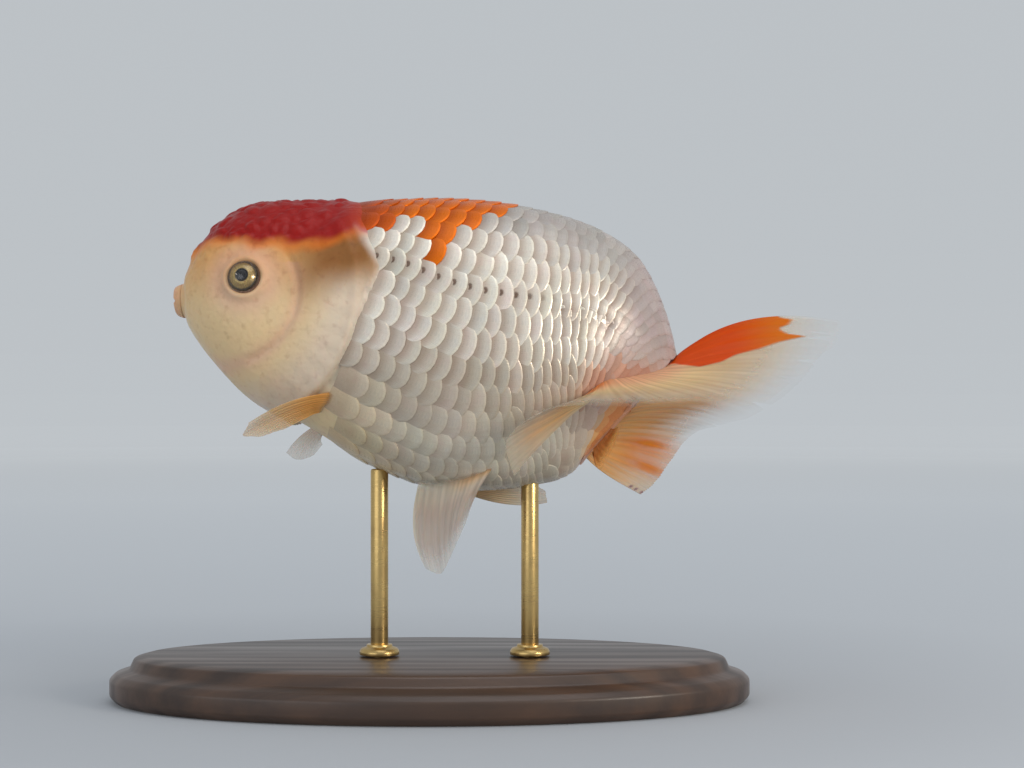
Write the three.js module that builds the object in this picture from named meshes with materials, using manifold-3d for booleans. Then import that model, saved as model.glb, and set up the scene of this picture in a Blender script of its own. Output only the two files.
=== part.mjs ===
// A ranchu goldfish as a life-size display model: an egg-shaped body with no dorsal fin, a small crown of
// growth on the head and a double tail, held over an oval base by two rods.
// Millimetres, +Z up. The origin is the middle of the base's underside and the head points to -Y.
// The fish is built upright in a frame of its own (x to its left, y to its tail, z up) and then banked.
import * as THREE from "three";
import { mergeVertices } from "three/addons/utils/BufferGeometryUtils.js";
import Module from "manifold-3d";

const wasm = await Module();
wasm.setup();

// Driving dimensions, in millimetres and degrees.
const BANK = 8; // the fish leans this far, belly towards +X
const FISH_HEIGHT = 61; // of the fish's own origin over the table
const GAP = 0.3; // between pieces that touch
const BODY_RINGS = 26; // along the body
const BODY_SIDES = 30;
const LINING_RINGS = 13; // of the hidden surfaces under the gill covers and the crown
const LINING_SIDES = 16;
const BODY_SQUARENESS = 2.25; // 2 is an ellipse, more is fuller at the shoulders

// Stations from the lips to the tail root: back and belly as [y, z], and half the width.
const STATIONS = [
  { back: [-42.6, 10.6], belly: [-42.4, 5.4], half: 3.8 }, // lips
  { back: [-41.2, 13.8], belly: [-41.0, 2.4], half: 7.6 },
  { back: [-37.3, 20.3], belly: [-37.0, -3.0], half: 11.8 }, // nostrils
  { back: [-30.6, 24.4], belly: [-30.6, -9.4], half: 14.1 }, // eyes
  { back: [-17.5, 25.2], belly: [-21.2, -14.6], half: 15.5 }, // nape and throat
  { back: [-7.5, 25.6], belly: [-11.8, -20.2], half: 17.0 },
  { back: [4.0, 25.8], belly: [0.0, -24.7], half: 18.0 }, // deepest section, at the pelvic fins
  { back: [17.0, 24.4], belly: [11.0, -25.2], half: 17.0 },
  { back: [29.2, 20.8], belly: [19.3, -24.2], half: 14.4 },
  { back: [36.2, 15.8], belly: [23.3, -23.0], half: 11.8 },
  { back: [40.2, 8.6], belly: [25.2, -21.9], half: 9.4 }, // vent
  { back: [41.9, 3.4], belly: [26.0, -20.9], half: 7.6 },
  { back: [43.0, -1.6], belly: [26.4, -19.9], half: 5.8 }, // tail root
];
const LAST_STATION = STATIONS.length - 1;
const CAP_BULGE = { lips: 0.9, tail: 0.5 }; // the domed ends beyond the first and last stations
const CAP_RINGS = 2;
const HALF_STEP = 5; // spacing given to the half widths, so that they blend as smoothly as the outline

// Head. The gill covers end on an arc in the side view, and so does the crown.
const HEAD_ARC = { y: -33, z: 7, radius: 22.2 };
const GILL_COVER = { inner: 11.5, from: -70, to: 27, thickness: 2.2, midGap: 3 };
const CROWN = { y: -28, z: 31, radius: 16, thickness: 3 };
const EYE = { y: -30.4, z: 9.4, radius: 3.1, x: 12.3 };
const MOUTH = { y: -41.6, z: 7.9, halfWidth: 3.5, halfDepth: 2.9, length: 2.5, tilt: 28 };
const NOSTRIL = { x: 5.2, y: -39.2, z: 15.4, radius: 1.5 };
const STALK_START = 9.3; // the station number at which the tail stalk begins

// Fins. A key ray has its root on the body (station number, degrees round from the back), then the point
// that it bends towards and its tip. The left side is +x.
const FIN = { root: 0.9, margin: 0.6, sink: 1.2 };
const TAIL_MESH = { along: 7, across: 12 };
const FIN_MESH = { along: 5, across: 5 };
const TAIL_SPLIT = 0.6; // share of the keyed rays that belongs to the lower lobe
const TAIL_SPLIT_GAP = 0.006; // share left open on each side of that line
const TAIL_LEFT = [
  { root: [8.85, 112], bend: [17.7, 19.5, -17.9], tip: [15.8, 14.1, -24.3] }, // leading ray
  { root: [8.93, 110], bend: [20.4, 18.6, -15.4], tip: [22.0, 12.9, -18.6] },
  { root: [9.05, 105], bend: [20.5, 24.3, -12.6], tip: [25.3, 19.4, -14.2] },
  { root: [9.4, 98], bend: [18.3, 31.5, -11.4], tip: [25.6, 33.0, -13.8] },
  { root: [10.0, 91], bend: [15.4, 40.0, -10.4], tip: [22.2, 45.0, -13.5] },
  { root: [10.9, 80], bend: [11.9, 47.9, -8.4], tip: [15.4, 55.0, -12.2] },
  { root: [11.5, 67], bend: [8.4, 51.6, -5.0], tip: [12.1, 62.1, -7.6] },
  { root: [12, 42], bend: [4.0, 52.1, 0.0], tip: [7.9, 68.7, -1.6] },
  { root: [12.1, 10], bend: [2.5, 51.6, 7.6], tip: [4.5, 71.5, 3.5] }, // top ray
];
const TAIL_RIGHT = [
  { root: [9.6, -140], bend: [-13.7, 29.0, -20.4], tip: [-20.5, 37.7, -23.9] },
  { root: [9.7, -134], bend: [-16.8, 32.0, -17.6], tip: [-24.2, 41.3, -20.8] },
  { root: [9.85, -127], bend: [-19.0, 34.4, -14.1], tip: [-27.5, 44.6, -15.9] },
  { root: [10.1, -118], bend: [-18.1, 37.5, -10.8], tip: [-27.6, 47.9, -12.3] },
  { root: [10.5, -108], bend: [-15.2, 43.2, -8.2], tip: [-24.8, 52.5, -11.2] },
  { root: [11.1, -95], bend: [-12.0, 48.3, -6.3], tip: [-19.6, 56.8, -10.4] },
  { root: [11.7, -75], bend: [-8.5, 52.5, -3.3], tip: [-14.1, 63.7, -6.6] },
  { root: [12, -42], bend: [-4.1, 53.0, 0.9], tip: [-8.0, 70.1, 0.2] },
  { root: [12.1, -10], bend: [-1.0, 52.0, 7.9], tip: [-2.9, 72.0, 4.5] },
];
const PECTORAL_LEFT = [
  { root: [4.55, 130], bend: [15.7, -22.5, -10.6], tip: [17.0, -29.3, -15.6] },
  { root: [4.5, 135], bend: [14.4, -23.3, -12.6], tip: [15.7, -30.2, -17.6] },
  { root: [4.4, 140], bend: [13.2, -22.7, -14.1], tip: [14.7, -27.7, -17.5] },
  { root: [4.32, 146], bend: [12.1, -21.1, -14.5], tip: [12.9, -23.8, -16.0] },
];
const PECTORAL_RIGHT = [
  { root: [4.55, -130], bend: [-15.3, -23.7, -12.3], tip: [-17.5, -26.5, -16.9] },
  { root: [4.5, -135], bend: [-14.4, -22.8, -13.6], tip: [-15.8, -24.2, -18.2] },
  { root: [4.4, -140], bend: [-13.4, -21.4, -14.2], tip: [-14.2, -21.3, -17.6] },
  { root: [4.32, -146], bend: [-12.0, -20.4, -14.6], tip: [-12.4, -19.3, -15.6] },
];
const PELVIC_LEFT = [
  { root: [5.9, 169], bend: [4.6, -4.4, -31.8], tip: [6.7, -0.1, -38.9] },
  { root: [6.2, 163], bend: [5.6, 0.2, -32.1], tip: [7.6, 2.3, -39.8] },
  { root: [6.6, 157], bend: [7.0, 3.6, -30.3], tip: [8.1, 4.4, -35.8] },
  { root: [7.0, 150], bend: [7.5, 7.4, -26.6], tip: [8.5, 6.9, -30.2] },
];
const PELVIC_RIGHT = [
  { root: [6.2, -168], bend: [-7.6, 12.6, -28.2], tip: [-12.7, 20.6, -25.8] },
  { root: [6.35, -165], bend: [-9.7, 13.7, -25.8], tip: [-14.5, 20.4, -23.8] },
  { root: [6.6, -162], bend: [-11.2, 13.1, -23.6], tip: [-16.0, 17.9, -22.0] },
];
const ANAL_LEFT = [
  { root: [12.15, 155], bend: [2.8, 28.2, -20.8], tip: [3.0, 29.5, -21.2] },
  { root: [12.3, 140], bend: [3.8, 30.2, -18.0], tip: [3.8, 31.4, -17.9] },
  { root: [12.35, 125], bend: [4.3, 31.9, -14.7], tip: [4.2, 32.9, -14.2] },
];

// Stand.
const BASE = { halfLength: 55, halfWidth: 31, height: 8, sides: 44 };
const BASE_EDGE = [ // inset and height, from the underside up
  [1.2, 0], [0, 1.2], [0, 4], [1, 5], [3.4, 5.8], [4.2, 7.5], [6, BASE.height],
];
const ROD = { radius: 1.5, x: 3.4, front: -8.5, rear: 17.2, seat: 4.6, sides: 16 };
const COLLAR = { radius: 3.4, height: 1.8 };

const radians = THREE.MathUtils.degToRad;
const vec = (x, y, z) => new THREE.Vector3(x, y, z);

// A smooth curve through the points, read at a point number that need not be whole.
function curveThrough(points) {
  const curve = new THREE.CatmullRomCurve3(points);
  return (at) => curve.getPoint(THREE.MathUtils.clamp(at / (points.length - 1), 0, 1));
}

const backLine = curveThrough(STATIONS.map((s) => vec(0, ...s.back)));
const bellyLine = curveThrough(STATIONS.map((s) => vec(0, ...s.belly)));
const halfWidths = curveThrough(STATIONS.map((s, i) => vec(s.half, i * HALF_STEP, 0)));

// The body's surface at a station number and an angle round from the back, moved out by grow. The domed
// ends reach their poles one station number beyond the first and last stations.
function bodyPoint(station, angle, grow = 0) {
  const inside = THREE.MathUtils.clamp(station, 0, LAST_STATION);
  const beyond = (station - inside) * (Math.PI / 2);
  const back = backLine(inside);
  const belly = bellyLine(inside);
  const up = back.clone().sub(belly).multiplyScalar(0.5);
  const backwards = vec(0, up.z, -up.y).normalize();
  const bulge = (beyond < 0 ? CAP_BULGE.lips : CAP_BULGE.tail) + grow;
  up.setLength(up.length() + grow);
  const power = 2 / BODY_SQUARENESS;
  const rounded = (value) => Math.sign(value) * Math.abs(value) ** power;
  const out = up.multiplyScalar(rounded(Math.cos(angle)));
  out.x = (halfWidths(inside).x + grow) * rounded(Math.sin(angle));
  return back
    .add(belly)
    .multiplyScalar(0.5)
    .addScaledVector(backwards, bulge * Math.sin(beyond))
    .addScaledVector(out, Math.cos(beyond));
}

// A closed mesh from rings of equal length, with a point beyond each end ring.
function loft(rings, firstPole, lastPole) {
  const sides = rings[0].length;
  const points = [...rings.flat(), firstPole, lastPole];
  const first = points.length - 2;
  const last = points.length - 1;
  const index = [];
  for (let i = 0; i < sides; i++) {
    const next = (i + 1) % sides;
    for (let j = 0; j + 1 < rings.length; j++) {
      const a = j * sides + i;
      const b = j * sides + next;
      index.push(a, b, a + sides, b, b + sides, a + sides);
    }
    const lastRing = (rings.length - 1) * sides;
    index.push(first, next, i, last, lastRing + i, lastRing + next);
  }
  return meshOf(points, index);
}

function meshOf(points, index) {
  return new THREE.BufferGeometry().setFromPoints(points).setIndex(index);
}

// The whole body as one closed geometry, grown all over or shrunk if grow is negative.
function bodyGeometry(grow, ringCount = BODY_RINGS, sides = BODY_SIDES) {
  const stations = [];
  for (let j = 1; j <= CAP_RINGS; j++) stations.push(j / (CAP_RINGS + 1) - 1);
  for (let j = 0; j <= ringCount; j++) stations.push((LAST_STATION * j) / ringCount);
  for (let j = 1; j <= CAP_RINGS; j++) stations.push(LAST_STATION + j / (CAP_RINGS + 1));
  const rings = stations.map((station) => {
    const ring = [];
    for (let i = 0; i < sides; i++) ring.push(bodyPoint(station, (2 * Math.PI * i) / sides, grow));
    return ring;
  });
  return loft(rings, bodyPoint(-1, 0, grow), bodyPoint(LAST_STATION + 1, 0, grow));
}

// Between three.js geometry and manifold-3d solids.
function solid(geometry) {
  const bare = geometry.clone();
  bare.deleteAttribute("normal");
  bare.deleteAttribute("uv");
  const merged = mergeVertices(bare, 1e-4);
  const made = new wasm.Manifold(
    new wasm.Mesh({
      numProp: 3,
      vertProperties: new Float32Array(merged.attributes.position.array),
      triVerts: new Uint32Array(merged.index.array),
    }),
  );
  if (made.volume() < 0) throw new Error("a solid is inside out");
  return made;
}

// The largest body of a solid, so that a sliver left by a cut is dropped.
function whole(made) {
  return made.decompose().sort((a, b) => b.volume() - a.volume())[0];
}

function geometryOf(made) {
  const mesh = whole(made).getMesh();
  const geometry = new THREE.BufferGeometry()
    .setAttribute("position", new THREE.BufferAttribute(mesh.vertProperties, 3))
    .setIndex(new THREE.BufferAttribute(mesh.triVerts, 1));
  geometry.computeVertexNormals();
  return geometry;
}

// A prism across the fish: a side-view outline in (y, z), from x = from to x = to.
function sidePrism(shape, from, to) {
  const geometry = new THREE.ExtrudeGeometry(shape, {
    depth: to - from,
    bevelEnabled: false,
    curveSegments: 14,
  });
  geometry.applyMatrix4(
    new THREE.Matrix4().makeBasis(vec(0, 1, 0), vec(0, 0, 1), vec(1, 0, 0)).setPosition(from, 0, 0),
  );
  return solid(geometry);
}

function disc(centre, radius) {
  return new THREE.Shape().absarc(centre.y, centre.z, radius, 0, 2 * Math.PI);
}

// Part of the ring between two radii round the head arc's centre.
function arcBand(inner, outer, from, to) {
  const { y, z } = HEAD_ARC;
  return new THREE.Shape()
    .absarc(y, z, outer, radians(from), radians(to))
    .absarc(y, z, inner, radians(to), radians(from), true);
}

function ball(centre, radii, tilt = 0) {
  const geometry = new THREE.SphereGeometry(1, 14, 10);
  geometry.scale(radii.x, radii.y, radii.z);
  geometry.rotateX(radians(tilt));
  geometry.translate(centre.x, centre.y, centre.z);
  return geometry;
}

// Materials.
const finish = (color, roughness, metalness = 0) =>
  new THREE.MeshStandardMaterial({ color, roughness, metalness });
const PEARL = finish(0xe9e2d2, 0.35, 0.15);
const RED = finish(0xd2401c, 0.5);
const CREAM = finish(0xf0d9a4, 0.45);
const FIN_CREAM = finish(0xf2e6c4, 0.5);
const FIN_ORANGE = finish(0xf27a1c, 0.5);
const GOLD = finish(0xc9a24b, 0.25, 0.4);
const WOOD = finish(0x4a2f1e, 0.5);
const BRASS = finish(0xb89a55, 0.3, 0.9);

const fish = new THREE.Group();
fish.rotation.y = -radians(BANK);
fish.position.z = FISH_HEIGHT;
fish.updateMatrix();

function add(parent, name, geometry, material) {
  const mesh = new THREE.Mesh(geometry, material.clone());
  mesh.name = name;
  parent.add(mesh);
}

// Body: one loft, parted by thin cuts into head, crown, gill covers, trunk and tail stalk.
const ACROSS = 30; // beyond the body's half width
const body = solid(bodyGeometry(0));
const grownBody = solid(bodyGeometry(GAP));
const headPrism = sidePrism(disc(HEAD_ARC, HEAD_ARC.radius), -ACROSS, ACROSS);
const headPrismWide = sidePrism(disc(HEAD_ARC, HEAD_ARC.radius + GAP), -ACROSS, ACROSS);

// Behind the stalk's cut: a box with one face on the section at STALK_START.
function behindStation(station) {
  const size = 80;
  const back = backLine(station);
  const belly = bellyLine(station);
  const chord = back.clone().sub(belly).normalize();
  const backwards = vec(0, chord.z, -chord.y);
  const geometry = new THREE.BoxGeometry(size, size, size);
  geometry.translate(0, size / 2, 0);
  geometry.applyMatrix4(
    new THREE.Matrix4().makeBasis(vec(1, 0, 0), backwards, chord).setPosition(back),
  );
  return solid(geometry);
}
const gapInStations = GAP / backLine(STALK_START).distanceTo(backLine(STALK_START + 1));
add(fish, "tail_stalk", geometryOf(body.intersect(behindStation(STALK_START + gapInStations))), PEARL);
add(
  fish,
  "trunk",
  geometryOf(body.subtract(headPrismWide).subtract(behindStation(STALK_START))),
  PEARL,
);

let head = body.intersect(headPrism);

// Crown of soft growth over the top of the head.
const lining = (depth) => solid(bodyGeometry(-depth, LINING_RINGS, LINING_SIDES));
function shellPiece(prism, thickness) {
  return body.intersect(prism).subtract(lining(thickness));
}
function cutShell(from, prism, thickness) {
  return from.subtract(prism.subtract(lining(thickness + GAP)));
}
const crownPrism = sidePrism(disc(CROWN, CROWN.radius), -ACROSS, ACROSS).intersect(headPrism);
add(fish, "crown", geometryOf(shellPiece(crownPrism, CROWN.thickness)), RED);
head = cutShell(
  head,
  sidePrism(disc(CROWN, CROWN.radius + GAP), -ACROSS, ACROSS),
  CROWN.thickness,
);

for (const [side, sign] of [
  ["left", 1],
  ["right", -1],
]) {
  // A prism on this side only, from the middle gap outwards.
  const sidePart = (shape, start) =>
    sign > 0 ? sidePrism(shape, start, ACROSS) : sidePrism(shape, -ACROSS, -start);

  const { inner, from, to, thickness, midGap } = GILL_COVER;
  const degreesOfGap = THREE.MathUtils.radToDeg(GAP / inner);
  const plate = arcBand(inner, HEAD_ARC.radius, from, to);
  const slot = arcBand(inner - GAP, HEAD_ARC.radius + 1, from - degreesOfGap, to + degreesOfGap);
  const crownWide = sidePrism(disc(CROWN, CROWN.radius + GAP), -ACROSS, ACROSS);
  add(
    fish,
    "gill_cover_" + side,
    geometryOf(shellPiece(sidePart(plate, midGap), thickness).subtract(crownWide)),
    CREAM,
  );
  head = cutShell(head, sidePart(slot, midGap - GAP), thickness);

  const eyeAt = vec(sign * EYE.x, EYE.y, EYE.z);
  const eyeSize = (grow) => vec(1, 1, 1).multiplyScalar(EYE.radius + grow);
  add(fish, "eye_" + side, ball(eyeAt, eyeSize(0)), GOLD);
  head = head.subtract(solid(ball(eyeAt, eyeSize(GAP))));

  const nostrilAt = vec(sign * NOSTRIL.x, NOSTRIL.y, NOSTRIL.z);
  const nostril = solid(ball(nostrilAt, vec(1, 1, 1).multiplyScalar(NOSTRIL.radius)));
  add(fish, "nostril_" + side, geometryOf(nostril.subtract(grownBody)), RED);
}

// Lips: the two halves of a small upturned oval, with the mouth open between them.
const mouthAt = vec(0, MOUTH.y, MOUTH.z);
const mouthSize = (grow) =>
  vec(MOUTH.halfWidth + grow, MOUTH.length + grow, MOUTH.halfDepth + grow);
const mouth = solid(ball(mouthAt, mouthSize(0), MOUTH.tilt));
function mouthHalf(up) {
  const size = 4 * MOUTH.halfWidth;
  const geometry = new THREE.BoxGeometry(size, size, size);
  geometry.translate(0, 0, (up * (size + GAP)) / 2);
  geometry.rotateX(-radians(MOUTH.tilt));
  geometry.translate(0, mouthAt.y, mouthAt.z);
  return solid(geometry);
}
add(fish, "upper_lip", geometryOf(mouth.intersect(mouthHalf(1))), CREAM);
add(fish, "lower_jaw", geometryOf(mouth.intersect(mouthHalf(-1))), CREAM);
head = head.subtract(solid(ball(mouthAt, mouthSize(GAP), MOUTH.tilt)));
add(fish, "head", geometryOf(head), RED);

// A fin as a closed sheet over its key rays, from share `start` to share `end` of the way across them.
function finSolid(keys, mesh, start = 0, end = 1) {
  const roots = curveThrough(keys.map((k) => bodyPoint(k.root[0], radians(k.root[1]), -FIN.sink)));
  const bends = curveThrough(keys.map((k) => vec(...k.bend)));
  const tips = curveThrough(keys.map((k) => vec(...k.tip)));
  const along = mesh.along;
  const across = Math.round(mesh.across * (end - start));
  const at = (u, v) => {
    const key = (start + (end - start) * u) * (keys.length - 1);
    return new THREE.QuadraticBezierCurve3(roots(key), bends(key), tips(key)).getPoint(v);
  };
  const step = 1e-3;
  const layers = [[], []];
  for (let i = 0; i <= across; i++)
    for (let j = 0; j <= along; j++) {
      const u = i / across;
      const v = j / along;
      const du = at(Math.min(u + step, 1), v).sub(at(Math.max(u - step, 0), v));
      const dv = at(u, Math.min(v + step, 1)).sub(at(u, Math.max(v - step, 0)));
      const normal = du.cross(dv).normalize();
      const half = THREE.MathUtils.lerp(FIN.root, FIN.margin, v) / 2;
      layers[0].push(at(u, v).addScaledVector(normal, half));
      layers[1].push(at(u, v).addScaledVector(normal, -half));
    }
  const row = along + 1;
  const under = layers[0].length;
  const index = [];
  const quad = (a, b, c, d) => index.push(a, b, c, a, c, d);
  for (let i = 0; i < across; i++)
    for (let j = 0; j < along; j++) {
      const a = i * row + j;
      quad(a, a + row, a + row + 1, a + 1);
      quad(under + a, under + a + 1, under + a + row + 1, under + a + row);
    }
  for (let i = 0; i < across; i++) {
    const a = i * row;
    const b = a + along;
    quad(a, under + a, under + a + row, a + row);
    quad(b, b + row, under + b + row, under + b);
  }
  for (let j = 0; j < along; j++) {
    const b = across * row + j;
    quad(j, j + 1, under + j + 1, under + j);
    quad(b, under + b, under + b + 1, b + 1);
  }
  return solid(meshOf(layers.flat(), index)).subtract(grownBody);
}

const mirrored = (keys) =>
  keys.map(({ root, bend, tip }) => ({
    root: [root[0], -root[1]],
    bend: [-bend[0], bend[1], bend[2]],
    tip: [-tip[0], tip[1], tip[2]],
  }));
for (const [side, keys] of [
  ["left", TAIL_LEFT],
  ["right", TAIL_RIGHT],
]) {
  const lower = finSolid(keys, TAIL_MESH, 0, TAIL_SPLIT - TAIL_SPLIT_GAP);
  const upper = finSolid(keys, TAIL_MESH, TAIL_SPLIT + TAIL_SPLIT_GAP, 1);
  add(fish, "tail_lower_" + side, geometryOf(lower), FIN_CREAM);
  add(fish, "tail_upper_" + side, geometryOf(upper), FIN_ORANGE);
}
for (const [name, keys] of [
  ["pectoral_fin_left", PECTORAL_LEFT],
  ["pectoral_fin_right", PECTORAL_RIGHT],
  ["pelvic_fin_left", PELVIC_LEFT],
  ["pelvic_fin_right", PELVIC_RIGHT],
  ["anal_fin_left", ANAL_LEFT],
  ["anal_fin_right", mirrored(ANAL_LEFT)],
])
  add(fish, name, geometryOf(finSolid(keys, FIN_MESH)), FIN_CREAM);

// Stand: an oval wooden base turned to a stepped edge, and two rods seated in it.
const stand = new THREE.Group();
const profile = [
  new THREE.Vector2(0, 0),
  ...BASE_EDGE.map(([inset, z]) => new THREE.Vector2(BASE.halfLength - inset, z)),
  new THREE.Vector2(0, BASE.height),
];
const baseBlank = new THREE.LatheGeometry(profile, BASE.sides);
baseBlank.rotateX(Math.PI / 2);
baseBlank.scale(BASE.halfWidth / BASE.halfLength, 1, 1);

function rodBlank(y, radius, bottom, top) {
  const geometry = new THREE.CylinderGeometry(radius, radius, top - bottom, ROD.sides);
  geometry.rotateX(Math.PI / 2);
  geometry.translate(ROD.x, y, (top + bottom) / 2);
  return geometry;
}
const tableToFish = fish.matrix.clone().invert();
let base = solid(baseBlank);
for (const [place, y] of [
  ["front", ROD.front],
  ["rear", ROD.rear],
]) {
  const seat = BASE.height - ROD.seat;
  base = base.subtract(solid(rodBlank(y, ROD.radius + GAP, seat, BASE.height + 1)));
  const rod = solid(
    rodBlank(y, ROD.radius, seat + GAP, FISH_HEIGHT).applyMatrix4(tableToFish),
  ).subtract(grownBody);
  // The length above the belly is inside the fish, so only the length below it is kept.
  const below = rod.decompose().sort((a, b) => a.boundingBox().min[2] - b.boundingBox().min[2])[0];
  add(fish, "stand_rod_" + place, geometryOf(below), BRASS);
  const foot = BASE.height + GAP;
  add(
    stand,
    "stand_collar_" + place,
    geometryOf(
      solid(rodBlank(y, COLLAR.radius, foot, foot + COLLAR.height)).subtract(
        solid(rodBlank(y, ROD.radius + GAP, foot - 1, foot + COLLAR.height + 1)),
      ),
    ),
    BRASS,
  );
}
add(stand, "stand_base", geometryOf(base), WOOD);

const part = new THREE.Group();
part.add(fish, stand);
export default part;
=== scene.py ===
import math

import bpy
import numpy as np
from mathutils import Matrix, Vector, noise


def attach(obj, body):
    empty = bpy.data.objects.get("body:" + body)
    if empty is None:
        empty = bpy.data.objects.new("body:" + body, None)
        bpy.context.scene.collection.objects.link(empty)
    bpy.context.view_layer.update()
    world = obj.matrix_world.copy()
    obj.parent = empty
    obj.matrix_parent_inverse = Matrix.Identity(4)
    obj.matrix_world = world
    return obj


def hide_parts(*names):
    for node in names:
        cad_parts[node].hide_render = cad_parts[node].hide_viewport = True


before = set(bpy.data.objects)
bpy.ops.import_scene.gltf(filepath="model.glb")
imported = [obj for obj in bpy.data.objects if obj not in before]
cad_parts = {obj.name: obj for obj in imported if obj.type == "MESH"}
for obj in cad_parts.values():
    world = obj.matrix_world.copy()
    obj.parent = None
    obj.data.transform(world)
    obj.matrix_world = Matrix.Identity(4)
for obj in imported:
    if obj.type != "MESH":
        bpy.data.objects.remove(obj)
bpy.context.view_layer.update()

# ---- Skin: the body's form ----------------------------------------------------------------------
# The fish is an egg-shaped body with a blunt head and a short, deep tail root. Its form is a row of
# oval stations, read as one smooth surface: `along` runs from the lips (0) to the tail root (12),
# `around` from the middle of the back (0) down each side to the middle of the belly (1 and -1).
MM = 0.001
BANK = math.radians(8)
FISH_HEIGHT = 61.0
BODY_SQUARENESS = 2.25   # 2 would be plain ovals
# At each station: the back's and the belly's place, lengthwise and in height, and the half width.
BACK = [(-42.6, 10.6), (-41.2, 13.8), (-37.3, 20.3), (-30.6, 24.4), (-17.5, 25.2), (-7.5, 25.6),
        (4.0, 25.8), (17.0, 24.4), (29.2, 20.8), (36.2, 15.8), (40.2, 8.6), (41.9, 3.4), (43.0, -1.6)]
BELLY = [(-42.4, 5.4), (-41.0, 2.4), (-37.0, -3.0), (-30.6, -9.4), (-21.2, -14.6), (-11.8, -20.2),
         (0.0, -24.7), (11.0, -25.2), (19.3, -24.2), (23.3, -23.0), (25.2, -21.9), (26.0, -20.9),
         (26.4, -19.9)]
HALF_WIDTH = [3.8, 7.6, 11.8, 14.1, 15.5, 17.0, 18.0, 17.0, 14.4, 11.8, 9.4, 7.6, 5.8]
HALF_WIDTH_STEP = 5.0    # spaces the widths out for their curve
LAST_STATION = len(BACK) - 1
LIPS_BULGE, TAIL_BULGE = 0.9, 0.5


def curve_through(points, per_point=100):
    """A centripetal Catmull-Rom curve, read at a point number that need not be whole."""
    points = [Vector(p) for p in points]
    ahead = [2 * points[0] - points[1]] + points + [2 * points[-1] - points[-2]]
    samples = []
    for i in range(len(points) - 1):
        p0, p1, p2, p3 = ahead[i:i + 4]
        d0, d1, d2 = (max((b - a).length, 1e-9) ** 0.5 for a, b in ((p0, p1), (p1, p2), (p2, p3)))
        m1 = ((p1 - p0) / d0 - (p2 - p0) / (d0 + d1) + (p2 - p1) / d1) * d1
        m2 = ((p2 - p1) / d1 - (p3 - p1) / (d1 + d2) + (p3 - p2) / d2) * d1
        for k in range(per_point):
            w = k / per_point
            samples.append(p1 + m1 * w + (3 * (p2 - p1) - 2 * m1 - m2) * w ** 2
                           + (2 * (p1 - p2) + m1 + m2) * w ** 3)
    samples = np.array([tuple(s) for s in samples + [points[-1]]])
    numbers = np.arange(len(samples)) / per_point
    return lambda at: np.stack([np.interp(at, numbers, samples[:, k]) for k in range(3)], -1)


back_line = curve_through([(0, y, z) for y, z in BACK])
belly_line = curve_through([(0, y, z) for y, z in BELLY])
width_line = curve_through([(w, i * HALF_WIDTH_STEP, 0) for i, w in enumerate(HALF_WIDTH)])


def rounded(value):
    return np.sign(value) * np.abs(value) ** (2 / BODY_SQUARENESS)


def body_section(along, angle):
    """The body at a station number and an angle round from the back, in the fish's own millimetres."""
    inside = np.clip(along, 0, LAST_STATION)
    beyond = (along - inside) * math.pi / 2
    back, belly = back_line(inside), belly_line(inside)
    up = (back - belly) / 2
    rearwards = np.stack([up[..., 0], up[..., 2], -up[..., 1]], -1)
    rearwards /= np.linalg.norm(rearwards, axis=-1, keepdims=True)
    out = up * rounded(np.cos(angle))[..., None]
    out[..., 0] = width_line(inside)[..., 0] * rounded(np.sin(angle))
    bulge = np.where(beyond < 0, LIPS_BULGE, TAIL_BULGE) * np.sin(beyond)
    return (back + belly) / 2 + rearwards * bulge[..., None] + out * np.cos(beyond)[..., None]


# The surface is read from a table with even steps round each section.
ALONG_STEPS = np.linspace(-1, LAST_STATION + 1, 281)
AROUND_STEPS = np.linspace(-1, 1, 361)


def even_ring(along):
    angle = np.linspace(-math.pi, math.pi, 1441)
    ring = body_section(np.full_like(angle, along), angle)
    length = np.concatenate([[0], np.cumsum(np.linalg.norm(np.diff(ring, axis=0), axis=1))])
    share = 2 * length / max(length[-1], 1e-9) - 1
    return np.stack([np.interp(AROUND_STEPS, share, ring[:, k]) for k in range(3)], -1), length[-1]


# The poles themselves have no girth, so their rings are read a hair's breadth inside them.
rings = [even_ring(np.clip(a, -0.999, LAST_STATION + 0.999)) for a in ALONG_STEPS]
surface_table = np.array([ring for ring, girth in rings])
girth_table = np.array([girth for ring, girth in rings])


def read_table(table, along, around):
    """Reads a grid table at fractional places; `around` wraps at the belly."""
    inside = np.clip(along, ALONG_STEPS[0], ALONG_STEPS[-1])
    i = (inside - ALONG_STEPS[0]) / (ALONG_STEPS[1] - ALONG_STEPS[0])
    j = ((around + 1) % 2) / (AROUND_STEPS[1] - AROUND_STEPS[0])
    i0 = np.minimum(i.astype(int), len(ALONG_STEPS) - 2)
    j0 = np.minimum(j.astype(int), len(AROUND_STEPS) - 2)
    a, b = (i - i0)[..., None], (j - j0)[..., None]
    return ((table[i0, j0] * (1 - a) + table[i0 + 1, j0] * a) * (1 - b)
            + (table[i0, j0 + 1] * (1 - a) + table[i0 + 1, j0 + 1] * a) * b)


def body_at(along, around):
    return read_table(surface_table, along, around)


def unit(vectors):
    return vectors / np.maximum(np.linalg.norm(vectors, axis=-1, keepdims=True), 1e-12)


def body_normal(along, around, step=0.02):
    """Outward normals, from differences along and around."""
    along = np.clip(along, ALONG_STEPS[0] + 2 * step, ALONG_STEPS[-1] - 2 * step)
    lengthwise = body_at(along + step, around) - body_at(along - step, around)
    girthwise = body_at(along, around + step) - body_at(along, around - step)
    return unit(np.cross(girthwise, lengthwise))


def smooth(low, high, value):
    """A soft step from 0 at the low value to 1 at the high one."""
    share = np.clip((value - low) / (high - low), 0, 1)
    return share * share * (3 - 2 * share)


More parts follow.
